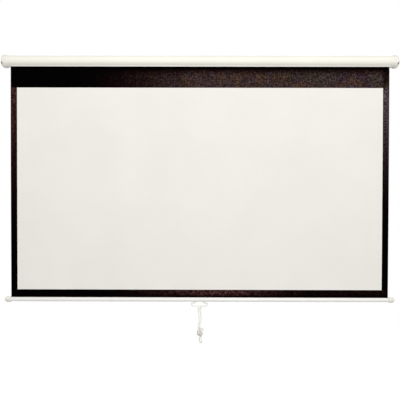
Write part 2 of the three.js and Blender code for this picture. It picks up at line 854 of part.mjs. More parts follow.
function pullHandle() {
  const half = [lugPlace - stubInward, lugPlace, lugPlace + stubOutward].map((x) => [x, 0]);
  for (const [across, down] of handleBendShares) {
    half.push([across * handleHalfWidth, -down * handleDrop]);
  }
  const left = half.map(([x, z]) => [-x, z]);
  const route = [...left, ...half.reverse()].map(([x, z]) => new THREE.Vector3(x, sheetMiddle, pivotZ + z));
  const bend = new THREE.CatmullRomCurve3(route, false, 'centripetal');
  const rod = swept(bend, handleRodRadius, rodSides, handleSteps);
  const [front, back] = [sheetMiddle - tabThickness / 2, sheetMiddle + tabThickness / 2];
  const tabTop = pivotZ - handleDrop;
  const windowTop = clipAxisZ + crossbarRadius + windowHeight;
  const tab = [
    [-tabTopHalf, tabTop],
    [-tabBottomHalf, clipAxisZ - crossbarRadius],
    [-windowHalf, clipAxisZ - crossbarRadius],
    [-windowHalf, windowTop],
    [windowHalf, windowTop],
    [windowHalf, clipAxisZ - crossbarRadius],
    [tabBottomHalf, clipAxisZ - crossbarRadius],
    [tabTopHalf, tabTop],
  ];
  const barSide = (windowHalf + tabBottomHalf) / 2;
  const crossbar = rodAlongX(-barSide, barSide, sheetMiddle, clipAxisZ, crossbarRadius, smallSegments);
  const heads = [-1, 1].map((side) => {
    const [near, far] = [lugPlace - stubInward, lugPlace - stubInward + handleHeadThickness];
    return atEnd(side, rodAlongX(near, far, sheetMiddle, pivotZ, handleHeadRadius, smallSegments));
  });
  return joined(rod, alongY(tab, front, back), crossbar, ...heads);
}

const clipRingInner = crossbarRadius + clipGap;
const clipRingOuter = clipRingInner + clipRing;
const clipBlockTop = clipAxisZ - clipRingInner - clipRing / 2;
const clipBottom = clipBlockTop - clipHeight;

function cordClip() {
  const ring = pipeAlongX(
    -clipRingWidth / 2, clipRingWidth / 2, sheetMiddle, clipAxisZ, clipRingOuter, clipRingInner,
    smallSegments,
  );
  const block = box(
    -clipHalfWidth, clipHalfWidth, sheetMiddle - clipDepth / 2, sheetMiddle + clipDepth / 2,
    clipBottom, clipBlockTop,
  );
  return joined(ring, block);
}

function knotPoint([x, y, z]) {
  const point = new THREE.Vector3((x - knotTurnPlace) * knotSpread, y * knotSpread, 0);
  point.applyAxisAngle(new THREE.Vector3(0, 0, 1), THREE.MathUtils.degToRad(knotTurnDegrees));
  point.x += knotAside;
  point.z = knotFoot + (z - knotFoot) * knotStretch;
  return point.toArray();
}

// The pull cord hangs from the clip as two strands, tied in a doubled overhand knot above an end loop.
function pullCord() {
  const start = new THREE.Vector3(0, sheetMiddle, clipBottom - seatGap);
  const route = [...cordDown, ...cordKnot.map(knotPoint), ...cordUp];
  const points = route.map((offset) => new THREE.Vector3(...offset).add(start));
  const curve = new THREE.CatmullRomCurve3(points, false, 'catmullrom');
  console.log('length of the pull cord: ' + curve.getLength().toFixed(0) + ' mm');
  console.log('least gap of the pull cord to itself: ' + leastGap(curve, cordRadius).toFixed(2) + ' mm');
  return swept(curve, cordRadius, cordSides, cordSteps);
}

add('case_shell', caseShell(), caseWhite, 0.45);
add('slot_lip', slotLip(), trimWhite, 0.5);
for (const [label, side] of [['left', -1], ['right', 1]]) {
  const capScrewSizes = {
    headRadius: capScrewHeadRadius,
    headHeight: capScrewHeadHeight,
    radius: capScrewRadius,
    grip: capScrewGrip,
  };
  const spadeSlot = box(
    bracketInner - cutOverrun, bracketOuter + cutOverrun,
    rollerY - spadeThickness / 2 - seatGap, rollerY + spadeThickness / 2 + seatGap,
    rollerZ - spadeHeight / 2 - seatGap, rollerZ + spadeHeight / 2 + seatGap,
  );
  const bushRadius = gudgeonRadius + seatGap + bushWall;
  const bushHole = rodAlongX(
    bracketInner - cutOverrun, bracketOuter + cutOverrun, rollerY, rollerZ, bushRadius + seatGap,
    roundSegments,
  );
  add(label + '_end_cap', atEnd(side, endCap()), capWhite, 0.5);
  const capScrew = screwAlongY(capScrewX, scoopFloor - seatGap, capScrewZ, capScrewSizes);
  add(label + '_cap_screw', atEnd(side, capScrew), zincGrey, 0.35, 0.9);
  add(label + '_bracket', atEnd(side, endBracket(side < 0 ? spadeSlot : bushHole)), steelGrey, 0.4, 0.9);
  rivetPlaces.forEach((x, i) => {
    add(label + '_rivet_' + (i + 1), atEnd(side, rivet(x)), zincGrey, 0.35, 0.9);
  });
}

add('spring_mandrel', atEnd(-1, mandrel()), steelGrey, 0.35, 0.9);
add('ratchet_wheel', atEnd(-1, ratchetWheel()), darkSteel, 0.4, 0.9);
const mandrelCollar = pipeAlongX(
  collarInner, collarOuter, rollerY, rollerZ, collarRadius, mandrelRadius + seatGap, roundSegments,
);
add('mandrel_collar', atEnd(-1, mandrelCollar), nylonWhite, 0.6);
add('torsion_spring', atEnd(-1, torsionSpring()), darkSteel, 0.35, 0.9);
add('pin_bush', turned(
  [
    [bracketInner - seatGap - bushFlangeThickness, gudgeonRadius + seatGap],
    [bracketInner - seatGap - bushFlangeThickness, bushFlangeRadius],
    [bracketInner - seatGap, bushFlangeRadius],
    [bracketInner - seatGap, gudgeonRadius + seatGap + bushWall],
    [bracketOuter + seatGap, gudgeonRadius + seatGap + bushWall],
    [bracketOuter + seatGap, gudgeonRadius + seatGap],
    [bracketInner - seatGap - bushFlangeThickness, gudgeonRadius + seatGap],
  ],
  rollerY, rollerZ, roundSegments,
), nylonWhite, 0.6);

const rollerInner = rollerRadius - rollerWall;
const rollerTube = pipeAlongX(
  -rollerHalf, rollerHalf, rollerY, rollerZ, rollerRadius, rollerInner, roundSegments,
);
add('roller_tube', rollerTube, steelGrey, 0.4, 0.9);
add('left_roller_plug', atEnd(-1, ratchetPlug()), nylonWhite, 0.6);
add('right_roller_plug', rollerPlug(gudgeonRadius), nylonWhite, 0.6);
const gudgeonPin = rodAlongX(
  rollerHalf - gudgeonInside, bracketOuter + gudgeonReach, rollerY, rollerZ, gudgeonRadius, smallSegments,
);
add('gudgeon_pin', gudgeonPin, steelGrey, 0.3, 0.9);
const springDrum = pipeAlongX(
  drumInner, drumOuter, rollerY, rollerZ, rollerInner - seatGap, mandrelRadius + seatGap, roundSegments,
);
add('spring_drum', atEnd(-1, springDrum), nylonWhite, 0.6);
const sheetWrap = pipeAlongX(
  -sheetHalf, sheetHalf, rollerY, rollerZ, wrapRadius, rollerRadius + seatGap, roundSegments,
);
add('sheet_wrap', sheetWrap, maskBlack, 0.9);
for (let i = 0; i < pawlCount; i += 1) {
  add('pawl_' + (i + 1), atEnd(-1, pawl(i)), darkSteel, 0.4, 0.9);
  add('pawl_pin_' + (i + 1), atEnd(-1, pawlPin(i)), steelGrey, 0.3, 0.9);
}

const screenSheet = box(-sheetHalf, sheetHalf, sheetFront, sheetBack, pictureBottom, rollerZ);
add('screen_sheet', screenSheet, sheetWhite, 0.9);
const maskFront = sheetFront - maskThickness;
const maskBlank = box(-sheetHalf, sheetHalf, maskFront, sheetFront, pictureBottom, rollerZ);
const maskWindow = box(
  -pictureWidth / 2, pictureWidth / 2, maskFront - cutOverrun, sheetBack,
  pictureBottom - cutOverrun, pictureTop,
);
add('black_mask', cut(maskBlank, maskWindow), maskBlack, 0.9);
add('hem_border', hemBorder(), maskBlack, 0.9);
const hemRod = rodAlongX(-sheetHalf, sheetHalf, sheetMiddle, hemAxis, hemRodRadius, smallSegments);
add('hem_rod', hemRod, steelGrey, 0.4, 0.9);
add('weight_bar', drilledBar(), barWhite, 0.4);
for (const [label, side] of [['left', -1], ['right', 1]]) {
  add(label + '_bar_cap', atEnd(side, barCap()), capWhite, 0.5);
  add(label + '_handle_lug', atEnd(side, handleLug()), capWhite, 0.5);
  add(label + '_lug_screw', atEnd(side, lugScrew()), zincGrey, 0.35, 0.9);
}
add('pull_handle', pullHandle(), handleWhite, 0.45);
add('cord_clip', cordClip(), handleWhite, 0.45);
add('pull_cord', pullCord(), cordWhite, 0.9);

export default screen;
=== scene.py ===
# A manual pull-down projection screen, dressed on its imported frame. Lengths are in metres.
import math
import bmesh
import bpy
from mathutils import Matrix, Vector


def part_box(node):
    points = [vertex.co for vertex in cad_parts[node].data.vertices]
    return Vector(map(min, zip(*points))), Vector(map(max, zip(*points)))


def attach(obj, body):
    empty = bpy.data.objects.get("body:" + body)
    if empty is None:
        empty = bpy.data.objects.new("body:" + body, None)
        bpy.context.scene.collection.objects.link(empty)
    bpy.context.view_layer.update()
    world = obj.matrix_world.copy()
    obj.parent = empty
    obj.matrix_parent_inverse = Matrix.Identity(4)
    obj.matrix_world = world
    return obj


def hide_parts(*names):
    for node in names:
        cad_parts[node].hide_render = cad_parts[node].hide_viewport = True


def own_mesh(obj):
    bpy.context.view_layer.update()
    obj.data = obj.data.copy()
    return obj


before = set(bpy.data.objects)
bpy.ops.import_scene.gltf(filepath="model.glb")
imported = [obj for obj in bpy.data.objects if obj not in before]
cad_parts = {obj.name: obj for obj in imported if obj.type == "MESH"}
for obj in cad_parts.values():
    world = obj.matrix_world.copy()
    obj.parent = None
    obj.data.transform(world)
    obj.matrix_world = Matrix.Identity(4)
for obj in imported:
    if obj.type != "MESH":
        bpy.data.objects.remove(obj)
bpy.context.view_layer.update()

# Camera, as the photograph was taken: a little above the middle of the screen and turned slightly down
PHOTO_WIDTH_PX = 400
CAMERA_PLACE = (0.0217, -4.5, -0.6745)
CAMERA_DOWN_DEGREES = 1.25
CAMERA_LEFT_DEGREES = 0.25
CAMERA_ROLL_DEGREES = 0.12
CAMERA_FOCAL_PX = 798.5
CAMERA_SENSOR = 36

# Cloth. Each ripple has its share of the height, its turns across and down in radians a metre, and its start.
CLOTH_THICKNESS = 0.0005
THREAD = 0.0007
PICTURE_HALF_WIDTH = 1.017
PICTURE_TOP = -0.148
RIPPLE = 0.0008
RIPPLE_WAVES = ((1, 9.1, 0, 1.3), (0.6, 21.7, 2.1, 0), (0.3, 43.0, -3.3, 0))
RIPPLE_LIFT = 2
RIPPLE_SWELL = 0.7
RIPPLE_FREE_ABOVE = -0.06
EDGE_CURL = 0.0022
EDGE_CURL_REACH = 0.045
COLUMNS = 150
ROWS = 96

# Brown flecks in the black border, for dye rubbed thin and for painted light and shade: from where to where
# they show, and shares of the most they show
# Painted light from the upper right: across the top band the flecks grow from none at its left to full by its
# middle
LIGHT_ACROSS_TOP = (-0.68, -0.02)
# Painted shadow of the case: the flecks fade out just below the lip
SHADOW_BELOW_LIP = (-0.086, -0.042)
WEAR_AT_TOP_RIGHT = (1.008, 1.024)
WEAR_TOP_RIGHT_DROP = 0.045
WEAR_TOP_RIGHT_SHARE = 0.25
WEAR_DOWN_SIDES = (-1.05, -0.195)
WEAR_SIDE_SHARES = (1.0, 1.1)
WEAR_FOOT_MIDDLE = 0.1
WEAR_ALONG_FOOT = (0.03, 0.7)
WEAR_FOOT_RIGHT = (0.35, 0.7)
WEAR_FOOT_RIGHT_SHARE = 0.11
WEAR_ABOVE_BAR = (-0.04, -0.019)
WEAR_AT_BAR_SHARE = 0.1
WEAR_EASE = 2.0
WEAR_SIDE_EASE = 2.4

# Case
CASE_NOSE = 0.031
CASE_BACK_RADIUS = 0.006
CASE_WALL = 0.0015
SLOT_REAR = 0.043
SLOT_SIDE_GAP = 0.0003
LIP_HEIGHT = 0.01
KEYHOLE_PLACE = 1.036
KEYHOLE_RISE = 0.011
KEY_WINDOW_ENTRY = 0.007
KEY_WINDOW_SLOT = 0.005
RIVET_PLACES = (1.056, 1.016)
RIVET_HOLE = 0.0023
FIT = 0.0003

# End caps
CAP_COLLAR = 0.016
CAP_PROUD = 0.0045
CAP_DRAW = 0.03
CAP_BACK_DRAW = 0.01
CAP_POCKET = 0.015
CAP_WALL = 0.0025
CAP_LEDGE = 0.0007
CAP_GROOVE = 0.0007
CAP_GROOVE_WIDTH = 0.0016
CAP_EDGE_ROUND = 0.0012
CAP_SLANT_SHARE = 0.3
CAP_SCREW_OUT = 0.0055
CAP_SCREW_DROP = 0.016
SCOOP_RADIUS = 0.0046
SCOOP_DEPTH = 0.014
SCOOP_REACH = 0.009
SCOOP_RISE = 0.011
SCOOP_TIP_RADIUS = 0.0022
SCOOP_WALL = 0.0014
CAP_BOSS_LENGTH = 0.006

# Screws
CAP_SCREW = {
    "Head Radius": 0.0038, "Head Height": 0.0024, "Shank Radius": 0.002, "Grip": 0.012, "Cross Width": 0.001,
}
LUG_SCREW = {
    "Head Radius": 0.003, "Head Height": 0.0014, "Shank Radius": 0.0016, "Grip": 0.006, "Cross Width": 0.0008,
}

# Weight bar and its caps
BAR_WALL = 0.0015
BAR_SLOT = 0.003
BAR_CAP_RIM = 0.0025
BAR_CAP_RIM_FACE_SHARE = 0.7
BAR_CAP_RIM_SLANT_SHARE = 0.2
BAR_CAP_EASE = 0.003
BAR_CAP_POCKET = 0.018

# Pull handle, its lugs and the cord's clip
LUG_PLACE = 0.03
EAR_THICKNESS = 0.003
EAR_RADIUS = 0.006
SADDLE_THICKNESS = 0.002
SADDLE_INWARD = 0.013
SADDLE_DEGREES = 42
LUG_SCREW_INWARD = 0.008
PIVOT_DROP = 0.0065
HANDLE_ROD_RADIUS = 0.00275
HANDLE_HEAD_RADIUS = 0.0042
HANDLE_HEAD_THICKNESS = 0.0015
STUB_INWARD = 0.005
STUB_OUTWARD = 0.004
HANDLE_HALF_WIDTH = 0.044
HANDLE_DROP = 0.018
HANDLE_BEND_SHARES = ((0.93, 0.09), (1, 0.36), (0.96, 0.68), (0.87, 0.93), (0.74, 1), (0.4, 1))
TAB_TOP_HALF = 0.016
TAB_BOTTOM_HALF = 0.0125
TAB_THICKNESS = 0.005
WINDOW_HALF = 0.0095
WINDOW_HEIGHT = 0.0045
CROSSBAR_RADIUS = 0.0028
CROSSBAR_DROP = 0.03
CLIP_GAP = 0.0005
CLIP_RING = 0.0024
CLIP_RING_WIDTH = 0.006
CLIP_HALF_WIDTH = 0.0095
CLIP_DEPTH = 0.007
CLIP_HEIGHT = 0.0055
LUG_EDGE = 0.0004
CLIP_EDGE = 0.0006
MOULDING_VOXEL = 0.00045
MOULDING_ROUNDS = 4

# Torsion spring
SPRING_RADIUS = 0.01
SPRING_WIRE_RADIUS = 0.0013
SPRING_CURLS = 26.0

# Pull cord. Each point is to the right, towards the wall and up from the middle of the clip's underside.
# One strand runs down to the knot, through it, round the end loop and back through it, to the other strand.
CORD_RADIUS = 0.00275
CORD_PLAIT_DEPTH = 0.0002
CORD_PLAIT_PITCH = 0.0056
CORD_PLAIT_STRANDS = 8
# Furrow depth, on its scale up to 2, at which the furrows' painted shade is fullest
CORD_FURROW_DARKEST = 1.7
CORD_SIDES = 16
CORD_SAMPLES = 1400
CORD_DOWN = (
    (0.0052, 0, 0), (0.0074, -0.0005, -0.019), (0.0086, -0.001, -0.038), (0.0086, -0.002, -0.055),
    (0.0065, -0.003, -0.069),
)
CORD_KNOT = (
    (0.005, -0.002, -0.103), (0.013, -0.0045, -0.12), (0.008, -0.0055, -0.138), (-0.007, 0.006, -0.14),
    (-0.012, 0.008, -0.121), (0.002, -0.002, -0.113), (0.009, 0.004, -0.13), (-0.001, 0.008, -0.147),
    (-0.0155, -0.0025, -0.141), (-0.009, 0.0005, -0.1235), (0.006, 0.0115, -0.118), (0.0195, 0.0065, -0.131),
    (0.009, 0.002, -0.151), (-0.005, 0, -0.16), (-0.003, 0, -0.172), (0.016, 0, -0.172),
    (0.021, 0.001, -0.16), (0.0115, -0.0035, -0.149), (0.0195, 0, -0.13), (0.007, 0.0055, -0.117),
    (-0.0075, -0.005, -0.1235), (-0.013, -0.007, -0.1415), (0.001, 0.003, -0.149), (0.0085, -0.0015, -0.131),
    (-0.001, -0.007, -0.115), (-0.015, 0.0035, -0.123), (-0.0085, 0, -0.141), (0.0065, -0.011, -0.1385),
    (0.012, -0.0095, -0.12), (0.005, -0.0075, -0.102),
)
CORD_UP = (
    (-0.002, -0.0045, -0.069), (-0.0006, -0.003, -0.055), (-0.0012, -0.0015, -0.038),
    (-0.003, -0.0005, -0.019), (-0.0052, 0, 0),
)
KNOT_TURN_DEGREES = -70
KNOT_TURN_PLACE = 0.003
KNOT_SPREAD = 1.23
KNOT_FOOT = -0.152
KNOT_STRETCH = 1.39
KNOT_ASIDE = 0.004

# Floor and lights. Each lamp has a place, an aim, a size, a power and a colour.
FLOOR_HEIGHT = -2.25
FLOOR_RADIUS = 2.6
FLOOR_SIDES = 64
FLOOR_SHADED_RADIUS = 0.5
FLOOR_LEAST_GLOW = 0.2
STUDIO_LIGHT = 0.34
LAMPS = {
    "overhead_softbox": ((0.3, -1.8, 2.9), (0.1, 0, -0.5), (3.2, 1.5), 60, (1, 0.985, 0.955)),
    "front_fill": ((0.2, -4.4, -0.3), (0, 0, -0.7), (2.4, 2.0), 95, (1, 0.99, 0.98)),
    "left_fill": ((-3.2, -0.25, 0.1), (-1.1, 0, 0), (1.2, 1.2), 16, (1, 0.99, 0.98)),
    "right_fill": ((3.2, -0.25, 0.1), (1.1, 0, 0), (1.2, 1.2), 18, (1, 0.99, 0.98)),
    "rear_fill": ((0, 3.4, 1.2), (0, 0, -0.4), (3.0, 2.0), 30, (1, 0.99, 0.98)),
}

# Places from the frame
shell_low, shell_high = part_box("case_shell")
cap_low, cap_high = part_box("right_end_cap")
cloth_low, cloth_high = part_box("screen_sheet")
border_low, border_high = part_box("hem_border")
rod_low, rod_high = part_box("hem_rod")
bar_low, bar_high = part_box("weight_bar")
bar_cap_low, bar_cap_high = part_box("right_bar_cap")
spring_low, spring_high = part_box("torsion_spring")

case_half_height = shell_high[2]
case_depth = -shell_low[1]
nose_centre = case_depth - CASE_NOSE
crease = -case_half_height + LIP_HEIGHT
slot_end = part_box("slot_lip")[1][0] + SLOT_SIDE_GAP
collar_start = cap_low[0]
collar_end = collar_start + CAP_COLLAR
dome_length = cap_high[0] - collar_end
shell_end = shell_high[0]
cloth_middle = (bar_low[1] + bar_high[1]) / 2
bar_axis = (bar_low[2] + bar_high[2]) / 2
bar_radius = (bar_high[1] - bar_low[1]) / 2
bar_cap_radius = (bar_cap_high[1] - bar_cap_low[1]) / 2
pivot_height = bar_low[2] - PIVOT_DROP
clip_axis = pivot_height - CROSSBAR_DROP
lug_screw_place = LUG_PLACE - LUG_SCREW_INWARD
cord_start = Vector((0, cloth_middle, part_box("cord_clip")[0][2] - FIT))
sides = (("left", -1), ("right", 1))


# Meshes

def object_of(name, mesh):
    piece = bpy.data.objects.new(name, mesh)
    bpy.context.scene.collection.objects.link(piece)
    return piece


def closed_piece(name, points, faces):
    """A piece from points and faces, with its doubles merged and its faces turned outwards."""
    mesh = bpy.data.meshes.new(name)
    mesh.from_pydata([tuple(point) for point in points], [], faces)
    work = bmesh.new()
    work.from_mesh(mesh)
    bmesh.ops.remove_doubles(work, verts=work.verts, dist=1e-6)
    bmesh.ops.recalc_face_normals(work, faces=work.faces)
    work.to_mesh(mesh)
    work.free()
    return object_of(name, mesh)


def baked(piece):
    """Turns a piece's modifiers into its plain mesh."""
    graph = bpy.context.evaluated_depsgraph_get()
    mesh = bpy.data.meshes.new_from_object(piece.evaluated_get(graph))
    piece.modifiers.clear()
    piece.data = mesh
    return piece


def combined(piece, operation, *others):
    """Cuts other closed pieces out of this one, joins them on or keeps what both share; the others go."""
    for other in others:
        step = piece.modifiers.new("combine", "BOOLEAN")
        step.object = other
        step.operation = operation
        step.solver = "EXACT"
        baked(piece)
        bpy.data.objects.remove(other)
    return piece


def cut(piece, *cutters):
    return combined(piece, "DIFFERENCE", *cutters)


def joined(piece, *others):
    return combined(piece, "UNION", *others)


def eased(piece, width, segments=2):
    """Rounds a piece's sharp edges a little."""
    step = piece.modifiers.new("ease", "BEVEL")
    step.width = width
    step.segments = segments
    step.limit_method = "ANGLE"
    step.angle_limit = math.radians(40)
    return baked(piece)


def moulded(piece, voxel, rounds):
    """Gives overlapping solids one skin with soft fillets where they meet."""
    remesh = piece.modifiers.new("one_skin", "REMESH")
    remesh.mode = "VOXEL"
    remesh.voxel_size = voxel
    remesh.use_smooth_shade = True
    relax = piece.modifiers.new("soften", "SMOOTH")
    relax.iterations = rounds
    return baked(piece)


def finished(piece, body, nodes, materials, sharp_degrees, kinds=()):
    """Gives a piece its materials and shading, and its place in the frame; kinds are its faces' materials."""
    mesh = piece.data
    mesh.materials.clear()
    for material in materials:
        mesh.materials.append(material)
    for face, kind in zip(mesh.polygons, kinds):
        face.material_index = kind
    mesh.shade_smooth()
    mesh.set_sharp_from_angle(angle=math.radians(sharp_degrees))
    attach(piece, body)
    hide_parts(*nodes)
    return piece


def lofted(name, rings):
    """A closed piece through rings with equal counts of points; a ring of one point is a pole."""
    points = []
    rows = []
    for ring in rings:
        rows.append([len(points) + i for i in range(len(ring))])
        points.extend(ring)
    faces = []
    for here, there in zip(rows, rows[1:]):
        count = max(len(here), len(there))
        for i in range(count):
            j = (i + 1) % count
            corners = (here[i % len(here)], here[j % len(here)], there[j % len(there)], there[i % len(there)])
            faces.append(list(dict.fromkeys(corners)))
    faces += [row for row in (rows[0], rows[-1]) if len(row) > 1]
    return closed_piece(name, points, faces)


def prism_x(name, outline, x0, x1):
    return lofted(name, [[(x, y, z) for y, z in outline] for x in (x0, x1)])


def prism_y(name, outline, y0, y1):
    return lofted(name, [[(x, y, z) for x, z in outline] for y in (y0, y1)])


def prism_z(name, outline, z0, z1):
    return lofted(name, [[(x, y, z) for x, y in outline] for z in (z0, z1)])


def block(name, low, high):
    outline = [(low[1], low[2]), (high[1], low[2]), (high[1], high[2]), (low[1], high[2])]
    return prism_x(name, outline, low[0], high[0])


def arc(across, up, radius, start, end, segments):
    angles = [start + (end - start) * i / segments for i in range(segments + 1)]
    return [(across + radius * math.cos(angle), up + radius * math.sin(angle)) for angle in angles]


def circle(across, up, radius, segments):
    return arc(across, up, radius, 0, 2 * math.pi, segments)[1:]


def rod_x(name, x0, x1, z, radius, segments=32):
    return prism_x(name, circle(cloth_middle, z, radius, segments), x0, x1)


def turned(name, profile, y, z, segments):
    """Turns a profile of (place along X, radius) about an axis along X; without radius it ends in a pole."""
    rings = []
    for x, radius in profile:
        section = circle(y, z, radius, segments) if radius > 0 else [(y, z)]
        rings.append([(x, *point) for point in section])
    return lofted(name, rings)


def catmull_rom(points, samples):
    """Evenly spaced points on the uniform Catmull-Rom curve through the given ones."""
    points = [Vector(point) for point in points]
    padded = [2 * points[0] - points[1], *points, 2 * points[-1] - points[-2]]
    fine = []
    steps = 40
    for k in range(1, len(padded) - 2):
        a, b, c, d = padded[k - 1:k + 3]
        for i in range(steps):
            t = i / steps
            fine.append(0.5 * (2 * b + (c - a) * t + (2 * a - 5 * b + 4 * c - d) * t ** 2
                               + (3 * b - a - 3 * c + d) * t ** 3))
    fine.append(points[-1])
    reach = [0]
    for here, there in zip(fine, fine[1:]):
        reach.append(reach[-1] + (there - here).length)
    even = []
    k = 0
    for i in range(samples + 1):
        want = reach[-1] * i / samples
        while k < len(reach) - 2 and reach[k + 1] < want:
            k += 1
        share = (want - reach[k]) / (reach[k + 1] - reach[k])
        even.append(fine[k].lerp(fine[k + 1], share))
    return even, reach[-1]


def swept(name, path, sides, radius_at):
    """A closed piece round a path, without twist; radius_at gives the radius from step and angle."""
    rings = []
    across = (path[1] - path[0]).orthogonal()
    for i, place in enumerate(path):
        ahead = (path[min(i + 1, len(path) - 1)] - path[max(i - 1, 0)]).normalized()
        across = (across - ahead * across.dot(ahead)).normalized()
        up = ahead.cross(across)
        ring = []
        for s in range(sides):
            angle = 2 * math.pi * s / sides
            radius = radius_at(i, angle)
            ring.append(place + across * (radius * math.cos(angle)) + up * (radius * math.sin(angle)))
        rings.append(ring)
    return lofted(name, rings)


# Shader helpers

def tone(text):
    """A colour as seen on a display, as the linear values that a shader takes."""
    parts = [int(text[i:i + 2], 16) / 255 for i in (1, 3, 5)]
    linear = [c / 12.92 if c <= 0.04045 else ((c + 0.055) / 1.055) ** 2.4 for c in parts]
    return (*linear, 1)


def feed(inputs, values):
    """Gives inputs their values: a plain one, or a link from another node's output."""
    for key, value in values.items():
        if hasattr(value, "is_output"):
            value.id_data.links.new(value, inputs[key])
        else:
            inputs[key].default_value = value


def put(tree, kind, values=None, **settings):
    node = tree.nodes.new(kind)
    for key, value in settings.items():
        setattr(node, key, value)
    feed(node.inputs, values or {})
    return node


def math_node(operation, *values):
    tree = next(value.id_data for value in values if hasattr(value, "is_output"))
    return put(tree, "ShaderNodeMath", dict(enumerate(values)), operation=operation).outputs[0]


def ranged(value, low, high, start=0.0, end=1.0):
    """Turns a value between start and end into one between low and high."""
    values = {"Value": value, "From Min": start, "From Max": end, "To Min": low, "To Max": high}
    return put(value.id_data, "ShaderNodeMapRange", values).outputs[0]


def noise(place, scale, detail, roughness=0.5):
    values = {"Vector": place, "Scale": scale, "Detail": detail, "Roughness": roughness}
    return put(place.id_data, "ShaderNodeTexNoise", values).outputs[0]


def blend_colors(factor, first, second):
    """Mixes two colours, each a socket or the text of a tone."""
    first, second = (tone(color) if isinstance(color, str) else color for color in (first, second))
    values = {0: factor, 6: first, 7: second}
    return put(factor.id_data, "ShaderNodeMix", values, data_type="RGBA").outputs[2]


def blend_values(factor, first, second):
    values = {0: factor, 2: first, 3: second}
    return put(factor.id_data, "ShaderNodeMix", values, data_type="FLOAT").outputs[0]


def object_place(tree):
    return put(tree, "ShaderNodeTexCoord").outputs["Object"]


def axes(vector):
    return put(vector.id_data, "ShaderNodeSeparateXYZ", {0: vector}).outputs


# Effects that several materials share

FLOAT = "NodeSocketFloat"
VECTOR = "NodeSocketVector"


def effect(name, inputs, outputs):
    """An empty shader node group with named inputs, each with its kind and value, and values as outputs."""
    tree = bpy.data.node_groups.new(name, "ShaderNodeTree")
    for label, kind, value in inputs:
        socket = tree.interface.new_socket(label, in_out="INPUT", socket_type=kind)
        socket.default_value = value
    for label in outputs:
        tree.interface.new_socket(label, in_out="OUTPUT", socket_type=FLOAT)
    return tree, tree.nodes.new("NodeGroupInput").outputs, tree.nodes.new("NodeGroupOutput").inputs


def grain_effect():
    """Fine surface grain and broad, soft patches, both in object space."""
    inputs = [("Grain Size", FLOAT, 0.001), ("Patch Size", FLOAT, 0.1), ("Stretch", VECTOR, (1, 1, 1))]
    tree, given, out = effect("surface_grain", inputs, ["Height", "Patches"])
    place = object_place(tree)
    stretched = put(tree, "ShaderNodeVectorMath", {0: place, 1: given["Stretch"]}, operation="MULTIPLY")
    fine_scale = math_node("DIVIDE", 1.0, given["Grain Size"])
    broad_scale = math_node("DIVIDE", 1.0, given["Patch Size"])
    fine = noise(stretched.outputs[0], fine_scale, 3.0, 0.6)
    feed(out, {"Height": fine, "Patches": noise(place, broad_scale, 4.0, 0.55)})
    return tree


def dust_effect():
    """A mask of thin dust on what faces up, broken up by noise."""
    inputs = [("Amount", FLOAT, 0.3), ("Speck Size", FLOAT, 0.004)]
    tree, given, out = effect("settled_dust", inputs, ["Dust"])
    facing = put(tree, "ShaderNodeNewGeometry").outputs["Normal"]
    upward = ranged(axes(facing)["Z"], 0.0, 1.0, 0.35, 1.0)
    speck_scale = math_node("DIVIDE", 1.0, given["Speck Size"])
    specks = ranged(noise(object_place(tree), speck_scale, 5.0, 0.7), 0.0, 1.0, 0.4, 0.75)
    dust = math_node("MULTIPLY", upward, specks)
    feed(out, {"Dust": math_node("MULTIPLY", dust, given["Amount"])})
    return tree


def rub_effect():
    """A mask of edges that handling has rubbed, from how sharply the surface turns."""
    tree, given, out = effect("edge_rub", [("Amount", FLOAT, 0.5)], ["Rubbed"])
    turn = put(tree, "ShaderNodeNewGeometry").outputs["Pointiness"]
    breaks = noise(object_place(tree), 260.0, 3.0)
    edges = math_node("MULTIPLY", ranged(turn, 0.0, 1.0, 0.53, 0.62), breaks)
    feed(out, {"Rubbed": math_node("MULTIPLY", edges, given["Amount"])})
    return tree


def weave_effect():
    """Plain weave in the cloth's own plane: threads along X and along Z pass over and under."""
    tree, given, out = effect("plain_weave", [("Thread", FLOAT, 0.0008)], ["Height", "Gaps"])
    place = axes(object_place(tree))
    rate = math_node("DIVIDE", math.pi, given["Thread"])
    waves = [math_node("SINE", math_node("MULTIPLY", place[axis], rate)) for axis in "XZ"]
    over = math_node("MULTIPLY", *waves)
    gaps = math_node("ABSOLUTE", over)
    feed(out, {"Height": ranged(over, 0.0, 1.0, -1.0, 1.0), "Gaps": gaps})
    return tree


def placed(tree, group, values):
    """An effect placed in a material with its own values."""
    return put(tree, "ShaderNodeGroup", values, node_tree=group).outputs


grain_group = grain_effect()
dust_group = dust_effect()
rub_group = rub_effect()
weave_group = weave_effect()


def grained(tree, grain, patch, stretch=(1, 1, 1)):
    return placed(tree, grain_group, {"Grain Size": grain, "Patch Size": patch, "Stretch": stretch})


# Materials

def fresh_material(name, constants):
    """A material with its tree and its shader's sockets, which get its constants."""
    material = bpy.data.materials.new(name)
    material.use_nodes = True
    tree = material.node_tree
    shader = tree.nodes["Principled BSDF"].inputs
    feed(shader, constants)
    return material, tree, shader


def surfaced(tree, shader, color, roughness, height, depth):
    """Feeds a shader its colour and roughness, and its normal through a bump of the given depth."""
    bump = put(tree, "ShaderNodeBump", {"Distance": depth, "Height": height})
    feed(shader, {"Base Color": color, "Roughness": roughness, "Normal": bump.outputs[0]})


def coated(name, color, shade, roughness, grain, bump, dust, patch=0.25, specular=0.5, rub=None):
    """Paint or moulded plastic: two close shades in soft patches, fine grain, dust and rubbed edges."""
    material, tree, shader = fresh_material(name, {"Specular IOR Level": specular})
    surface = grained(tree, grain, patch)
    body = blend_colors(ranged(surface["Patches"], 0.0, 1.0, 0.35, 0.65), color, shade)
    if rub:
        rubbed = placed(tree, rub_group, {"Amount": 0.7})
        body = blend_colors(rubbed["Rubbed"], body, rub)
    film = placed(tree, dust_group, {"Amount": dust})
    body = blend_colors(film["Dust"], body, "#b9b4a8")
    dull = ranged(surface["Patches"], roughness - 0.05, roughness + 0.07, 0.3, 0.7)
    surfaced(tree, shader, body, dull, surface["Height"], bump)
    return material


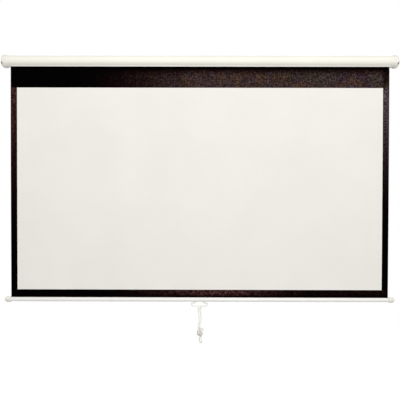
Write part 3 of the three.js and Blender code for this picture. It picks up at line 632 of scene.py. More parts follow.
def metal(name, color, shade, roughness, stretch=(1, 1, 1), grain=0.0006):
    """Bare metal with drawing or turning marks that run where the stretch is small."""
    material, tree, shader = fresh_material(name, {"Metallic": 1.0})
    surface = grained(tree, grain, 0.03, stretch)
    body = blend_colors(ranged(surface["Patches"], 0.0, 1.0, 0.35, 0.7), color, shade)
    dull = ranged(surface["Height"], roughness - 0.08, roughness + 0.12, 0.3, 0.7)
    surfaced(tree, shader, body, dull, surface["Height"], 0.00002)
    return material


def picture_cloth():
    """Matte white projection coating over a fine weave."""
    constants = {"Specular IOR Level": 0.25, "Sheen Weight": 0.05}
    material, tree, shader = fresh_material("white_picture_cloth", constants)
    surface = grained(tree, 0.0011, 0.32)
    threads = placed(tree, weave_group, {"Thread": THREAD})
    body = blend_colors(ranged(surface["Patches"], 0.0, 1.0, 0.3, 0.7), "#f1eeea", "#edebe5")
    body = blend_colors(ranged(threads["Gaps"], 0.0, 0.05), body, "#dddad4")
    height = math_node("ADD", threads["Height"], surface["Height"])
    surfaced(tree, shader, body, ranged(surface["Patches"], 0.82, 0.92), height, 0.00003)
    return material


def wear_mask(tree):
    """How much the border's brown flecks show, for dye rubbed thin and for painted light and shade: least at
    its upper corners, just below the lip, where this is painted shadow of the case, and low down its sides;
    more towards the right of the top band, as painted light from the upper right.
    With it come masks of what lies above its foot and above the picture, and how far right it is."""
    place = axes(object_place(tree))
    x, z = place["X"], place["Z"]
    # Painted light: the flecks grow towards the right of the top band. Painted shadow of the case: they fade
    # out just below the lip.
    across_top = math_node("POWER", ranged(x, 0, 1, *LIGHT_ACROSS_TOP), WEAR_EASE)
    along_top = math_node("MULTIPLY", across_top, ranged(z, 1, 0, *SHADOW_BELOW_LIP))
    at_right = ranged(x, 1, WEAR_TOP_RIGHT_SHARE, *WEAR_AT_TOP_RIGHT)
    near_picture = ranged(z, 1, 0, PICTURE_TOP, PICTURE_TOP + WEAR_TOP_RIGHT_DROP)
    top_right = math_node("MAXIMUM", at_right, near_picture)
    top = math_node("MULTIPLY", along_top, top_right)
    down = math_node("POWER", ranged(z, 0, 1, *WEAR_DOWN_SIDES), WEAR_SIDE_EASE)
    share = ranged(x, *WEAR_SIDE_SHARES, cloth_low[0], cloth_high[0])
    down_sides = math_node("MULTIPLY", down, share)
    aside = math_node("ABSOLUTE", math_node("SUBTRACT", x, WEAR_FOOT_MIDDLE))
    at_middle = math_node("POWER", ranged(aside, 1, 0, *WEAR_ALONG_FOOT), WEAR_EASE)
    foot_right = ranged(x, 0, WEAR_FOOT_RIGHT_SHARE, *WEAR_FOOT_RIGHT)
    up_foot = ranged(z, WEAR_AT_BAR_SHARE, 1, *(cloth_low[2] + offset for offset in WEAR_ABOVE_BAR))
    foot = math_node("MULTIPLY", math_node("MAXIMUM", at_middle, foot_right), up_foot)
    above_foot = math_node("GREATER_THAN", z, cloth_low[2])
    above_picture = math_node("GREATER_THAN", z, PICTURE_TOP)
    wear = blend_values(above_picture, blend_values(above_foot, foot, down_sides), top)
    return wear, above_foot, above_picture, ranged(x, 0, 1, cloth_low[0], cloth_high[0])


def border_cloth():
    """Black printed border with brown and purple flecks, for dye rubbed thin and for painted light and shade.
    """
    material, tree, shader = fresh_material("black_border_cloth", {"Specular IOR Level": 0.005})
    wear, above_foot, above_picture, rightward = wear_mask(tree)
    hue = grained(tree, 0.06, 0.11)
    flecks = grained(tree, 0.0075, 0.03)["Height"]
    threads = placed(tree, weave_group, {"Thread": THREAD})
    at_top = blend_colors(ranged(hue["Height"], 0.0, 1.0, 0.4, 0.6), "#533d32", "#46353e")
    at_top = blend_colors(ranged(hue["Patches"], 0.0, 0.7, 0.48, 0.62), at_top, "#46423a")
    at_sides = blend_colors(rightward, "#522f2b", "#655861")
    border_tint = blend_colors(above_picture, blend_colors(above_foot, "#5c3436", at_sides), at_top)
    # Where few flecks show, the tint darkens to deep red and the bright flecks thin out: painted shade below
    # the lip and on the left of the top band.
    border_tint = blend_colors(ranged(wear, 0.8, 0.0, 0.0, 0.7), border_tint, "#471d21")
    soft_flecks = ranged(flecks, 0.28, 1.0, 0.42, 0.62)
    sharp_flecks = ranged(flecks, 0.05, 1.0, 0.43, 0.58)
    fleck_share = math_node("MULTIPLY", blend_values(above_picture, sharp_flecks, soft_flecks), wear)
    sparks = math_node("MULTIPLY", ranged(flecks, 0.0, 0.35, 0.52, 0.7), wear)
    body = blend_colors(sparks, blend_colors(fleck_share, "#020101", border_tint), "#76675d")
    body = blend_colors(ranged(threads["Gaps"], 0.0, 0.3), body, "#010101")
    dull = ranged(hue["Height"], 0.55, 0.75, 0.3, 0.7)
    surfaced(tree, shader, body, dull, math_node("ADD", threads["Height"], flecks), 0.00006)
    return material


def backing_cloth():
    """Black rubbery backing that keeps light from the wall side out."""
    material, tree, shader = fresh_material("black_backing", {"Specular IOR Level": 0.4})
    surface = grained(tree, 0.0009, 0.2)
    body = blend_colors(ranged(surface["Patches"], 0.0, 1.0, 0.35, 0.65), "#191818", "#232122")
    dull = ranged(surface["Patches"], 0.55, 0.7, 0.3, 0.7)
    surfaced(tree, shader, body, dull, surface["Height"], 0.00006)
    return material


def plaited_cotton():
    """Cotton cord: the yarn follows the cord's own map, and the furrows between its strands are darker, as
    painted shade.
    """
    constants = {"Specular IOR Level": 0.2, "Sheen Weight": 0.3}
    material, tree, shader = fresh_material("plaited_cotton", constants)
    yarn = noise(put(tree, "ShaderNodeUVMap", uv_map="cord_lie").outputs[0], 900.0, 4.0)
    furrow = put(tree, "ShaderNodeAttribute", attribute_name="furrow").outputs["Fac"]
    surface = grained(tree, 0.0004, 0.03)
    body = blend_colors(ranged(surface["Patches"], 0.0, 1.0, 0.35, 0.7), "#f8f6f1", "#f2efe8")
    body = blend_colors(ranged(yarn, 0.0, 0.2, 0.3, 0.7), body, "#e6e1d8")
    # Painted shade in the plait's furrows
    body = blend_colors(ranged(furrow, 0.0, 0.25), body, "#cdc6ba")
    surfaced(tree, shader, body, 0.9, yarn, 0.0001)
    return material


case_paint = coated("warm_white_powder_coat", "#f2f0e6", "#efeee4", 0.42, 0.0016, 0.00002, 0.28, specular=0.4)
lip_plastic = coated("lip_plastic", "#dcdad4", "#d8d6d0", 0.4, 0.0008, 0.00001, 0.1)
cap_plastic = coated(
    "moulded_cap_plastic", "#ebe9e2", "#e7e4dc", 0.46, 0.0007, 0.00003, 0.25, patch=0.03, rub="#f4f2ec",
)
# Much darker than the cap plastic: painted shade in the cap screws' scoops
recess_shade_plastic = coated("painted_shade_recess_plastic", "#a39c91", "#8f897f", 0.6, 0.0006, 0.00002, 0.3, patch=0.004)
bar_paint = coated("white_bar_paint", "#f2f2ef", "#eeedeb", 0.27, 0.0014, 0.000015, 0.12)
handle_plastic = coated(
    "white_handle_plastic", "#efefe9", "#e8e7df", 0.3, 0.0009, 0.00001, 0.08, patch=0.02, rub="#f8f8f4",
)
nylon = coated("natural_nylon", "#d9d6cb", "#cfccbf", 0.5, 0.0006, 0.00002, 0.0, patch=0.02)
drawn_steel = metal("drawn_steel", "#a9acb0", "#8f9296", 0.34, (0.04, 1, 1))
rolled_steel = metal("rolled_steel", "#a5a8ab", "#8b8e92", 0.4, (0.15, 1, 1))
spring_steel = metal("oiled_spring_steel", "#5a5c60", "#43454a", 0.3)
zinc = metal("zinc_plate", "#c3c6c8", "#aeb1ad", 0.3, grain=0.0004)
white_cloth = picture_cloth()
black_cloth = border_cloth()
backing = backing_cloth()
cotton = plaited_cotton()


# Camera

def make_camera():
    lens = bpy.data.cameras.new("photo_camera")
    lens.sensor_width = CAMERA_SENSOR
    lens.lens = CAMERA_SENSOR * CAMERA_FOCAL_PX / PHOTO_WIDTH_PX
    camera = object_of("photo_camera", lens)
    turn = Matrix.Rotation(math.radians(CAMERA_LEFT_DEGREES), 4, "Z")
    turn @= Matrix.Rotation(math.radians(90 - CAMERA_DOWN_DEGREES), 4, "X")
    turn @= Matrix.Rotation(math.radians(CAMERA_ROLL_DEGREES), 4, "Z")
    camera.matrix_world = Matrix.Translation(CAMERA_PLACE) @ turn
    bpy.context.scene.camera = camera


make_camera()


# Cord

def knot_point(offset):
    """A point of the knot as it hangs: turned about an upright line, a little wider and longer than given."""
    x, y, z = offset
    flat = Vector(((x - KNOT_TURN_PLACE) * KNOT_SPREAD, y * KNOT_SPREAD, 0))
    flat.rotate(Matrix.Rotation(math.radians(KNOT_TURN_DEGREES), 3, "Z"))
    return flat + Vector((KNOT_ASIDE, 0, KNOT_FOOT + (z - KNOT_FOOT) * KNOT_STRETCH))


def make_cord():
    route = [Vector(offset) for offset in CORD_DOWN]
    route += [knot_point(offset) for offset in CORD_KNOT]
    route += [Vector(offset) for offset in CORD_UP]
    path, length = catmull_rom([cord_start + offset for offset in route], CORD_SAMPLES)
    turns = length / CORD_PLAIT_PITCH

    def furrow_at(step, angle):
        """How deep the furrows of the plait are here, from 0 on top of a strand to 2."""
        along = 2 * math.pi * turns * step / CORD_SAMPLES
        across = CORD_PLAIT_STRANDS / 2 * angle
        return 1 - max(math.cos(across + along), math.cos(across - along))

    def radius_at(step, angle):
        return CORD_RADIUS - CORD_PLAIT_DEPTH * furrow_at(step, angle)

    cord = swept("braided_pull_cord", path, CORD_SIDES, radius_at)
    mesh = cord.data
    # The furrow attribute carries the plait's painted shade to the material
    furrow = mesh.attributes.new("furrow", "FLOAT", "POINT")
    lie = mesh.uv_layers.new(name="cord_lie")
    lay = []
    for k in range(len(path)):
        for s in range(CORD_SIDES):
            angle = 2 * math.pi * s / CORD_SIDES
            furrow.data[k * CORD_SIDES + s].value = furrow_at(k, angle) / CORD_FURROW_DARKEST
            lay.append((length * k / CORD_SAMPLES, CORD_RADIUS * angle))
    for loop in mesh.loops:
        lie.data[loop.index].uv = lay[loop.vertex_index]
    finished(cord, "cord", ["pull_cord"], [cotton], 60)


make_cord()


# Cloth

def cloth_depth(x, z):
    """Where the cloth's front lies: flat at the roller and the hem, and between them in slight waves, with
    curled edges, all forward of the roller."""
    share = (RIPPLE_FREE_ABOVE - z) / (RIPPLE_FREE_ABOVE - cloth_low[2])
    free = math.sin(math.pi * min(max(share, 0), 1)) ** RIPPLE_SWELL
    waves = sum(part * math.sin(x * across + z * down + start) for part, across, down, start in RIPPLE_WAVES)
    edge = max(0, 1 - (cloth_high[0] - abs(x)) / EDGE_CURL_REACH)
    return cloth_low[1] - free * (RIPPLE * (RIPPLE_LIFT + waves) + EDGE_CURL * edge ** 2)


def make_cloth():
    """The sheet, a thin closed slab: its front white within the border, its edges black, its back rubbery."""
    width = cloth_high[0] - cloth_low[0]
    length = cloth_high[2] - cloth_low[2]
    columns = {cloth_low[0] + width * i / COLUMNS for i in range(COLUMNS + 1)}
    columns = sorted(columns | {-PICTURE_HALF_WIDTH, PICTURE_HALF_WIDTH})
    rows = {cloth_low[2] + length * i / ROWS for i in range(ROWS + 1)}
    rows = sorted(rows | {RIPPLE_FREE_ABOVE, PICTURE_TOP})
    points = []
    for behind in (0, CLOTH_THICKNESS):
        for z in rows:
            points += [(x, cloth_depth(x, z) + behind, z) for x in columns]
    wide, high = len(columns), len(rows)
    back = wide * high
    faces = []
    kinds = []
    for r in range(high - 1):
        for c in range(wide - 1):
            a = r * wide + c
            inside = abs(columns[c] + columns[c + 1]) / 2 < PICTURE_HALF_WIDTH
            white = inside and (rows[r] + rows[r + 1]) / 2 < PICTURE_TOP
            faces.append((a, a + 1, a + 1 + wide, a + wide))
            kinds.append(0 if white else 1)
            faces.append((back + a, back + a + wide, back + a + 1 + wide, back + a + 1))
            kinds.append(2)
    edges = [(r * wide + c, 1) for c in range(wide - 1) for r in (0, high - 1)]
    edges += [(r * wide + c, wide) for r in range(high - 1) for c in (0, wide - 1)]
    for a, step in edges:
        faces.append((a, a + step, back + a + step, back + a))
        kinds.append(1)
    cloth = closed_piece("projection_cloth", points, faces)
    materials = [white_cloth, black_cloth, backing]
    finished(cloth, "housing", ["screen_sheet", "black_mask"], materials, 50, kinds)
    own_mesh(cloth)
    return cloth


def make_hem():
    """The black lower border and the loop that holds the hem rod inside the bar."""
    outer = (rod_high[2] - rod_low[2]) / 2 + FIT + CLOTH_THICKNESS
    centre = (rod_high[2] + rod_low[2]) / 2
    half = CLOTH_THICKNESS / 2
    up = math.pi / 2
    neck = math.asin(half / outer)
    outline = [
        (cloth_middle - half, border_high[2]),
        *arc(cloth_middle, centre, outer, up + neck, up + 2 * math.pi - neck, 40),
        (cloth_middle + half, border_high[2]),
    ]
    hem = prism_x("lower_border", outline, border_low[0], border_high[0])
    cut(hem, rod_x("tunnel", border_low[0] - FIT, border_high[0] + FIT, centre, outer - CLOTH_THICKNESS))
    kinds = [1 if face.normal.y > 0.5 else 0 for face in hem.data.polygons]
    return finished(hem, "bar", ["hem_border"], [black_cloth, backing], 40, kinds)


projection_cloth = make_cloth()
lower_border = make_hem()


# Case

def case_outline(inset, back_inset):
    """The case's D outline: an ellipse in front, drawn in by one inset, and a flat back with its own."""
    half = case_half_height - inset
    corner = max(CASE_BACK_RADIUS - inset, FIT)
    nose = arc(0, 0, 1, math.pi / 2, 1.5 * math.pi, 72)
    outline = [(-nose_centre + (CASE_NOSE - inset) * across, half * up) for across, up in nose]
    outline += arc(-back_inset - corner, corner - half, corner, -math.pi / 2, 0, 10)
    outline += arc(-back_inset - corner, half - corner, corner, 0, math.pi / 2, 10)
    return outline


def case_front(inset, z):
    """How far forward the case's outline lies at a height."""
    rise = z / (case_half_height - inset)
    return -nose_centre - (CASE_NOSE - inset) * math.sqrt(1 - rise * rise)


def keyhole(x):
    low, high = -KEYHOLE_RISE / 2, KEYHOLE_RISE / 2
    neck = math.asin(KEY_WINDOW_SLOT / KEY_WINDOW_ENTRY)
    entry = arc(x, low, KEY_WINDOW_ENTRY, math.pi / 2 + neck, 2.5 * math.pi - neck, 32)
    return entry + arc(x, high, KEY_WINDOW_SLOT, 0, math.pi, 16)


def make_case():
    shell = prism_x("case_profile", case_outline(0, 0), -shell_end, shell_end)
    slot_low = (-slot_end, -case_depth - CASE_WALL, -2 * case_half_height)
    cutters = [
        prism_x("inside", case_outline(CASE_WALL, CASE_WALL), -shell_end - FIT, shell_end + FIT),
        block("slot", slot_low, (slot_end, -SLOT_REAR, crease)),
    ]
    for side in (-1, 1):
        openings = [keyhole(side * KEYHOLE_PLACE)]
        openings += [circle(side * place, 0, RIVET_HOLE, 24) for place in RIVET_PLACES]
        cutters += [prism_y("opening", opening, -2 * CASE_WALL, CASE_WALL) for opening in openings]
    cut(shell, *cutters)
    finished(shell, "housing", ["case_shell"], [case_paint], 25)


make_case()


# End caps

cap_screw_x = collar_end + CAP_SCREW_OUT
cap_screw_share = 1 - math.sqrt(1 - (CAP_SCREW_OUT / dome_length) ** 2)
dome_front = case_front(-CAP_PROUD + CAP_DRAW * cap_screw_share, -CAP_SCREW_DROP)
scoop_floor = dome_front + SCOOP_DEPTH
boss_end = scoop_floor + CAP_BOSS_LENGTH


def section(side, x, inset, back_inset):
    return [(side * x, y, z) for y, z in case_outline(inset, back_inset)]


def dome(side, inset, draw, back_inset, length):
    """Sections from the collar out to the tip, each drawn in further than the last."""
    sections = []
    for across, out in arc(0, 0, 1, 0, math.pi / 2, 28):
        share = 1 - across
        x = collar_end + length * out
        sections.append(section(side, x, inset + draw * share, back_inset + CAP_BACK_DRAW * share))
    return sections


def scoop(name, side, wall, y0, y1):
    """The slanting scoop round a cap screw, grown by a wall: two circles and what lies between them."""
    reach = math.hypot(SCOOP_REACH, SCOOP_RISE)
    aim = math.atan2(SCOOP_RISE, SCOOP_REACH)
    lean = math.acos((SCOOP_RADIUS - SCOOP_TIP_RADIUS) / reach)
    tip = (cap_screw_x + SCOOP_REACH, SCOOP_RISE - CAP_SCREW_DROP)
    turn = 2 * math.pi
    outline = arc(cap_screw_x, -CAP_SCREW_DROP, SCOOP_RADIUS + wall, aim + lean, aim - lean + turn, 40)
    outline += arc(*tip, SCOOP_TIP_RADIUS + wall, aim - lean, aim + lean, 20)
    return prism_y(name, [(side * x, z) for x, z in outline], y0, y1)


def in_scoop(side, point):
    """Whether a point of the cap lies on the walls or the floor of its scoop."""
    away = Vector((side * point.x - cap_screw_x, point.z + CAP_SCREW_DROP))
    along = Vector((SCOOP_REACH, SCOOP_RISE))
    share = min(max(away.dot(along) / along.length_squared, 0), 1)
    radius = SCOOP_RADIUS + (SCOOP_TIP_RADIUS - SCOOP_RADIUS) * share
    return (away - along * share).length < radius + FIT and point.y < scoop_floor + FIT


def make_end_cap(hand, side):
    groove_start = collar_end - CAP_GROOVE_WIDTH
    insets = {
        collar_start: CAP_EDGE_ROUND,
        collar_start + CAP_EDGE_ROUND * CAP_SLANT_SHARE: CAP_EDGE_ROUND * CAP_SLANT_SHARE,
        collar_start + CAP_EDGE_ROUND: 0,
        groove_start: 0,
        groove_start + CAP_GROOVE_WIDTH * CAP_SLANT_SHARE: CAP_GROOVE,
        groove_start + CAP_GROOVE_WIDTH * (1 - CAP_SLANT_SHARE): CAP_GROOVE,
    }
    collar = [section(side, x, inset - CAP_PROUD, 0) for x, inset in insets.items()]
    outside = dome(side, -CAP_PROUD, CAP_DRAW, 0, dome_length)
    cap = lofted(f"moulded_{hand}_end_cap", collar + outside)
    pocket_ends = (collar_start - CAP_POCKET, shell_end + FIT)
    pocket = lofted("pocket", [section(side, x, -FIT, -CAP_POCKET) for x in pocket_ends])
    inner = CASE_WALL + CAP_LEDGE
    inside = dome(side, inner, CAP_DRAW - CAP_PROUD, CAP_WALL, dome_length - CAP_WALL)
    hollow = lofted("hollow", [section(side, shell_end, inner, CAP_WALL), *inside])
    post = scoop("post", side, SCOOP_WALL, dome_front - CAP_WALL, boss_end)
    combined(post, "INTERSECT", object_of("outside_copy", cap.data.copy()))
    cut(cap, pocket, hollow)
    joined(cap, post)
    hole = circle(side * cap_screw_x, -CAP_SCREW_DROP, CAP_SCREW["Shank Radius"] + FIT, 24)
    cut(
        cap, scoop("scoop", side, 0, dome_front - CASE_NOSE, scoop_floor),
        prism_y("hole", hole, scoop_floor - CAP_WALL, boss_end + CAP_WALL),
    )
    # The scoop's walls and floor take the darker plastic: painted shade
    kinds = [1 if in_scoop(side, face.center) else 0 for face in cap.data.polygons]
    finished(cap, "housing", [f"{hand}_end_cap"], [cap_plastic, recess_shade_plastic], 32, kinds)


for hand, side in sides:
    make_end_cap(hand, side)


# Weight bar

def screw_hole(side, z0, z1):
    """Where a lug's screw passes through the lug and the bar."""
    hole = circle(side * lug_screw_place, cloth_middle, LUG_SCREW["Shank Radius"] + FIT, 24)
    return prism_z("screw_hole", hole, z0, z1)


def make_bar():
    inner = bar_radius - BAR_WALL
    outside = math.asin(BAR_SLOT / 2 / bar_radius)
    inside = math.asin(BAR_SLOT / 2 / inner)
    up = math.pi / 2
    outline = [
        *arc(cloth_middle, bar_axis, bar_radius, up + outside, up + 2 * math.pi - outside, 72),
        *arc(cloth_middle, bar_axis, inner, up + 2 * math.pi - inside, up + inside, 60),
    ]
    bar = prism_x("weight_bar_tube", outline, bar_low[0], bar_high[0])
    cut(bar, *(screw_hole(side, bar_low[2] - BAR_WALL, bar_low[2] + 2 * BAR_WALL) for side in (-1, 1)))
    finished(bar, "bar", ["weight_bar"], [bar_paint], 30)


def make_bar_cap(hand, side):
    start, end = bar_cap_low[0], bar_cap_high[0]
    pocket = bar_radius + FIT
    profile = [
        (start + BAR_CAP_POCKET, 0), (start + BAR_CAP_POCKET, pocket), (start, pocket),
        (start, pocket + BAR_CAP_RIM * BAR_CAP_RIM_FACE_SHARE),
        (start + BAR_CAP_RIM * BAR_CAP_RIM_SLANT_SHARE, pocket + BAR_CAP_RIM),
        (start + BAR_CAP_EASE, bar_cap_radius),
        *arc(end - bar_cap_radius, 0, bar_cap_radius, math.pi / 2, 0, 28)[:-1],
        (end, 0),
    ]
    profile = [(side * x, radius) for x, radius in profile]
    cap = turned(f"moulded_{hand}_bar_cap", profile, cloth_middle, bar_axis, 64)
    finished(cap, "bar", [f"{hand}_bar_cap"], [cap_plastic], 35)


make_bar()
for hand, side in sides:
    make_bar_cap(hand, side)


# Handle, lugs and clip

def merged(name, parts):
    """Several closed solids as the shells of one mesh."""
    work = bmesh.new()
    for part in parts:
        work.from_mesh(part.data)
        bpy.data.objects.remove(part)
    mesh = bpy.data.meshes.new(name)
    work.to_mesh(mesh)
    work.free()
    return object_of(name, mesh)


def make_lug(hand, side):
    top = bar_radius + FIT
    half = math.radians(SADDLE_DEGREES)
    down = -math.pi / 2
    saddle = [
        *arc(cloth_middle, bar_axis, top + SADDLE_THICKNESS, down - half, down + half, 24),
        *arc(cloth_middle, bar_axis, top, down + half, down - half, 24),
    ]
    inner, outer = LUG_PLACE - EAR_THICKNESS / 2, LUG_PLACE + EAR_THICKNESS / 2
    neck_top = bar_axis - top - SADDLE_THICKNESS / 2
    ear = [
        *arc(cloth_middle, pivot_height, EAR_RADIUS, math.pi, 2 * math.pi, 24),
        (cloth_middle + EAR_RADIUS, neck_top), (cloth_middle - EAR_RADIUS, neck_top),
    ]
    lug = joined(
        prism_x(f"moulded_{hand}_handle_lug", saddle, side * (LUG_PLACE - SADDLE_INWARD), side * outer),
        prism_x("ear", ear, side * inner, side * outer),
    )
    eye_ends = (side * (inner - EAR_THICKNESS), side * (outer + EAR_THICKNESS))
    cut(
        lug, rod_x("eye", *eye_ends, pivot_height, HANDLE_ROD_RADIUS + FIT),
        screw_hole(side, bar_low[2] - 3 * SADDLE_THICKNESS, bar_low[2] + FIT),
    )
    eased(lug, LUG_EDGE)
    finished(lug, "bar", [f"{hand}_handle_lug"], [cap_plastic], 60)


def make_handle():
    stub = LUG_PLACE - STUB_INWARD
    half = [(x, 0) for x in (stub, LUG_PLACE, LUG_PLACE + STUB_OUTWARD)]
    half += [(across * HANDLE_HALF_WIDTH, -down * HANDLE_DROP) for across, down in HANDLE_BEND_SHARES]
    route = [(-x, z) for x, z in half] + half[::-1]
    path = catmull_rom([(x, cloth_middle, pivot_height + z) for x, z in route], 220)[0]
    low = clip_axis - CROSSBAR_RADIUS
    window_top = clip_axis + CROSSBAR_RADIUS + WINDOW_HEIGHT
    right = [
        (WINDOW_HALF, window_top), (WINDOW_HALF, low), (TAB_BOTTOM_HALF, low),
        (TAB_TOP_HALF, pivot_height - HANDLE_DROP),
    ]
    tab = [(-x, z) for x, z in right[::-1]] + right
    crossbar_end = (WINDOW_HALF + TAB_BOTTOM_HALF) / 2
    parts = [
        swept("rod", path, 28, lambda step, angle: HANDLE_ROD_RADIUS),
        prism_y("tab", tab, cloth_middle - TAB_THICKNESS / 2, cloth_middle + TAB_THICKNESS / 2),
        rod_x("crossbar", -crossbar_end, crossbar_end, clip_axis, CROSSBAR_RADIUS),
    ]
    for side in (-1, 1):
        ends = (side * stub, side * (stub + HANDLE_HEAD_THICKNESS))
        parts.append(rod_x("head", *ends, pivot_height, HANDLE_HEAD_RADIUS))
    handle = moulded(merged("moulded_pull_handle", parts), MOULDING_VOXEL, MOULDING_ROUNDS)
    finished(handle, "handle", ["pull_handle"], [handle_plastic], 60)


def make_clip():
    inner = CROSSBAR_RADIUS + CLIP_GAP
    top = clip_axis - inner - CLIP_RING / 2
    front, back = cloth_middle - CLIP_DEPTH / 2, cloth_middle + CLIP_DEPTH / 2
    clip = joined(
        rod_x("ring", -CLIP_RING_WIDTH / 2, CLIP_RING_WIDTH / 2, clip_axis, inner + CLIP_RING, 48),
        block("block", (-CLIP_HALF_WIDTH, front, top - CLIP_HEIGHT), (CLIP_HALF_WIDTH, back, top)),
    )
    cut(clip, rod_x("bore", -CLIP_RING_WIDTH, CLIP_RING_WIDTH, clip_axis, inner, 48))
    eased(clip, CLIP_EDGE, 3)
    finished(clip, "cord", ["cord_clip"], [handle_plastic], 60)


for hand, side in sides:
    make_lug(hand, side)
make_handle()
make_clip()


# Screws and spring, from geometry nodes

GEOMETRY = "NodeSocketGeometry"
MATERIAL = "NodeSocketMaterial"


def geometry_tree(name, inputs):
    """A geometry tree with named inputs, each with its kind, beside the geometry that goes in and out."""
    tree = bpy.data.node_groups.new(name, "GeometryNodeTree")
    for label, kind in {"Geometry": GEOMETRY, **inputs}.items():
        tree.interface.new_socket(label, in_out="INPUT", socket_type=kind)
    tree.interface.new_socket("Geometry", in_out="OUTPUT", socket_type=GEOMETRY)
    return tree, tree.nodes.new("NodeGroupInput").outputs, tree.nodes.new("NodeGroupOutput").inputs


def dressed(tree, geometry, given, out):
    """Ends a geometry tree: its instances are made real and get the finish."""
    real = put(tree, "GeometryNodeRealizeInstances", {0: geometry})
    values = {"Geometry": real.outputs[0], "Material": given["Finish"]}
    feed(out, {0: put(tree, "GeometryNodeSetMaterial", values).outputs[0]})
    return tree


def screw_tree():
    """Pan-head screws with a cross recess, one at each point: head below, shank above, turned together."""
    inputs = {**dict.fromkeys(CAP_SCREW, FLOAT), "Turn": VECTOR, "Finish": MATERIAL}
    tree, given, out = geometry_tree("pan_head_screws", inputs)
    radius, height, shank_radius, grip, width = (given[key] for key in CAP_SCREW)

    def share(length, factor):
        return math_node("MULTIPLY", length, factor)

    def vector(*parts):
        return put(tree, "ShaderNodeCombineXYZ", dict(enumerate(parts))).outputs[0]

    def lifted(rise, scale, kind, values):
        solid = put(tree, kind, values).outputs["Mesh"]
        values = {"Geometry": solid, "Translation": vector(0, 0, rise), "Scale": scale}
        return put(tree, "GeometryNodeTransform", values).outputs[0]

    half = share(height, 0.5)
    flat = vector(1, 1, math_node("DIVIDE", half, radius))
    whole = put(tree, "GeometryNodeMeshBoolean", operation="UNION")
    for rise, scale, kind, values in (
        (share(height, -0.25), (1, 1, 1), "GeometryNodeMeshCylinder",
         {"Vertices": 40, "Radius": radius, "Depth": half}),
        (share(height, -0.5), flat, "GeometryNodeMeshUVSphere",
         {"Segments": 40, "Rings": 20, "Radius": radius}),
        (share(grip, 0.49), (1, 1, 1), "GeometryNodeMeshCylinder",
         {"Vertices": 24, "Radius": shank_radius, "Depth": grip}),
    ):
        feed(whole.inputs, {"Mesh 2": lifted(rise, scale, kind, values)})
    crossed = put(tree, "GeometryNodeMeshBoolean", {"Mesh 1": whole.outputs["Mesh"]}, operation="DIFFERENCE")
    arm = share(radius, 1.1)
    for size in (vector(arm, width, height), vector(width, arm, height)):
        slit = lifted(share(height, -1), (1, 1, 1), "GeometryNodeMeshCube", {"Size": size})
        feed(crossed.inputs, {"Mesh 2": slit})
    spread = put(tree, "GeometryNodeInstanceOnPoints", {
        "Points": given["Geometry"], "Instance": crossed.outputs["Mesh"], "Rotation": given["Turn"],
    })
    return dressed(tree, spread.outputs[0], given, out)


def spring_tree():
    """A close-wound spring along X from the origin."""
    inputs = {**dict.fromkeys(("Curls", "Radius", "Length", "Wire Radius"), FLOAT), "Finish": MATERIAL}
    tree, given, out = geometry_tree("torsion_spring_wire", inputs)
    coil = put(tree, "GeometryNodeCurveSpiral", {
        "Resolution": 28, "Rotations": given["Curls"], "Height": given["Length"],
        "Start Radius": given["Radius"], "End Radius": given["Radius"],
    })
    lying = put(tree, "GeometryNodeTransform", {"Geometry": coil.outputs[0], "Rotation": (0, math.pi / 2, 0)})
    section = {"Resolution": 10, "Radius": given["Wire Radius"]}
    tube = put(tree, "GeometryNodeCurveToMesh", {
        "Curve": lying.outputs[0], "Fill Caps": True,
        "Profile Curve": put(tree, "GeometryNodeCurvePrimitiveCircle", section).outputs[0],
    })
    return dressed(tree, tube.outputs[0], given, out)


def grown(name, tree, points, values):
    """Runs a geometry tree on a few points and keeps its result as a plain mesh."""
    mesh = bpy.data.meshes.new(name)
    mesh.from_pydata(points, [], [])
    piece = object_of(name, mesh)
    step = piece.modifiers.new("grow", "NODES")
    step.node_group = tree
    for item in tree.interface.items_tree:
        if item.in_out == "INPUT" and item.name in values:
            step[item.identifier] = values[item.name]
    return baked(piece)


screws = screw_tree()


def make_screws(name, body, nodes, points, turn, sizes):
    piece = grown(name, screws, points, {**sizes, "Turn": turn, "Finish": zinc})
    finished(piece, body, nodes, [zinc], 35)


def make_spring():
    spring = grown("wound_torsion_spring", spring_tree(), [(0, 0, 0)], {
        "Curls": SPRING_CURLS, "Radius": SPRING_RADIUS, "Wire Radius": SPRING_WIRE_RADIUS,
        "Length": spring_high[0] - spring_low[0] - 2 * SPRING_WIRE_RADIUS, "Finish": spring_steel,
    })
    start = (spring_low + spring_high) / 2
    start.x = spring_low[0] + SPRING_WIRE_RADIUS
    spring.data.transform(Matrix.Translation(start))
    finished(spring, "housing", ["torsion_spring"], [spring_steel], 50)


make_screws(
    "cap_screws", "housing", ("left_cap_screw", "right_cap_screw"),
    [(side * cap_screw_x, scoop_floor - FIT, -CAP_SCREW_DROP) for side in (-1, 1)],
    (-math.pi / 2, 0, 0), CAP_SCREW,
)
lug_underside = bar_low[2] - FIT - SADDLE_THICKNESS - FIT
make_screws(
    "lug_screws", "bar", ("left_lug_screw", "right_lug_screw"),
    [(side * lug_screw_place, cloth_middle, lug_underside) for side in (-1, 1)],
    (0, 0, 0), LUG_SCREW,
)
make_spring()


# Finishes on the pieces that keep their solid's shape

kept_finishes = {
    lip_plastic: ["slot_lip"],
    rolled_steel: ["left_bracket", "right_bracket"],
    zinc: ["left_rivet_1", "left_rivet_2", "right_rivet_1", "right_rivet_2"],
    drawn_steel: ["spring_mandrel", "roller_tube", "gudgeon_pin", "pawl_pin_1", "pawl_pin_2", "hem_rod"],
    spring_steel: ["ratchet_wheel", "pawl_1", "pawl_2"],
    nylon: ["mandrel_collar", "pin_bush", "left_roller_plug", "right_roller_plug", "spring_drum"],
    backing: ["sheet_wrap"],
}
for finish, nodes in kept_finishes.items():
    for node in nodes:
        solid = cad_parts[node]
        solid.data.materials.clear()
        solid.data.materials.append(finish)


# Floor, lights and world

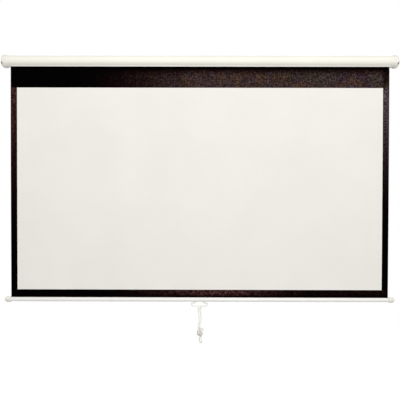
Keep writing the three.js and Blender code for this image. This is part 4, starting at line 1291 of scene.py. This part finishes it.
def seen_directly(tree):
    """1 for rays from the camera, also mirrored or through something clear, and 0 for those that light."""
    ray = put(tree, "ShaderNodeLightPath").outputs
    mirrored = math_node("MAXIMUM", ray["Is Camera Ray"], ray["Is Glossy Ray"])
    return math_node("MAXIMUM", mirrored, ray["Is Transmission Ray"])


def make_floor():
    points = [(x, y, FLOOR_HEIGHT) for x, y in [(0, 0), *circle(0, 0, FLOOR_RADIUS, FLOOR_SIDES)]]
    faces = [(0, i + 1, (i + 1) % FLOOR_SIDES + 1) for i in range(FLOOR_SIDES)]
    mesh = bpy.data.meshes.new("floor")
    mesh.from_pydata(points, [], faces)
    constants = {"Base Color": tone("#babcbc"), "Roughness": 0.9}
    material, tree = fresh_material("pale_floor", constants)[:2]
    reach = put(tree, "ShaderNodeVectorMath", {0: object_place(tree)}, operation="LENGTH").outputs["Value"]
    rise = ranged(reach, FLOOR_LEAST_GLOW, 1.0, FLOOR_SHADED_RADIUS, FLOOR_RADIUS)
    strength = math_node("MULTIPLY", seen_directly(tree), rise)
    glow = put(tree, "ShaderNodeEmission", {"Color": (1, 1, 1, 1), "Strength": strength})
    shaded = tree.nodes["Principled BSDF"].outputs[0]
    both = put(tree, "ShaderNodeAddShader", {0: shaded, 1: glow.outputs[0]})
    feed(tree.nodes["Material Output"].inputs, {"Surface": both.outputs[0]})
    mesh.materials.append(material)
    object_of("floor", mesh)


def make_lamp(name, place, aim, size, power, color):
    lamp = bpy.data.lights.new(name, "AREA")
    lamp.shape = "RECTANGLE"
    lamp.size, lamp.size_y = size
    lamp.energy = power
    lamp.color = color
    light = object_of(name, lamp)
    light.location = place
    light.rotation_euler = (Vector(aim) - Vector(place)).to_track_quat("-Z", "Y").to_euler()


def make_world():
    world = bpy.data.worlds.new("white_studio")
    bpy.context.scene.world = world
    world.use_nodes = True
    tree = world.node_tree
    soft = tree.nodes["Background"]
    feed(soft.inputs, {"Color": (1.0, 0.995, 0.98, 1), "Strength": STUDIO_LIGHT})
    white = put(tree, "ShaderNodeBackground", {"Color": (1, 1, 1, 1), "Strength": 1.0})
    pick = put(tree, "ShaderNodeMixShader", {0: seen_directly(tree), 1: soft.outputs[0], 2: white.outputs[0]})
    feed(tree.nodes["World Output"].inputs, {"Surface": pick.outputs[0]})


make_floor()
for name, (place, aim, size, power, color) in LAMPS.items():
    make_lamp(name, place, aim, size, power, color)
make_world()
bpy.context.scene.view_settings.view_transform = "Standard"
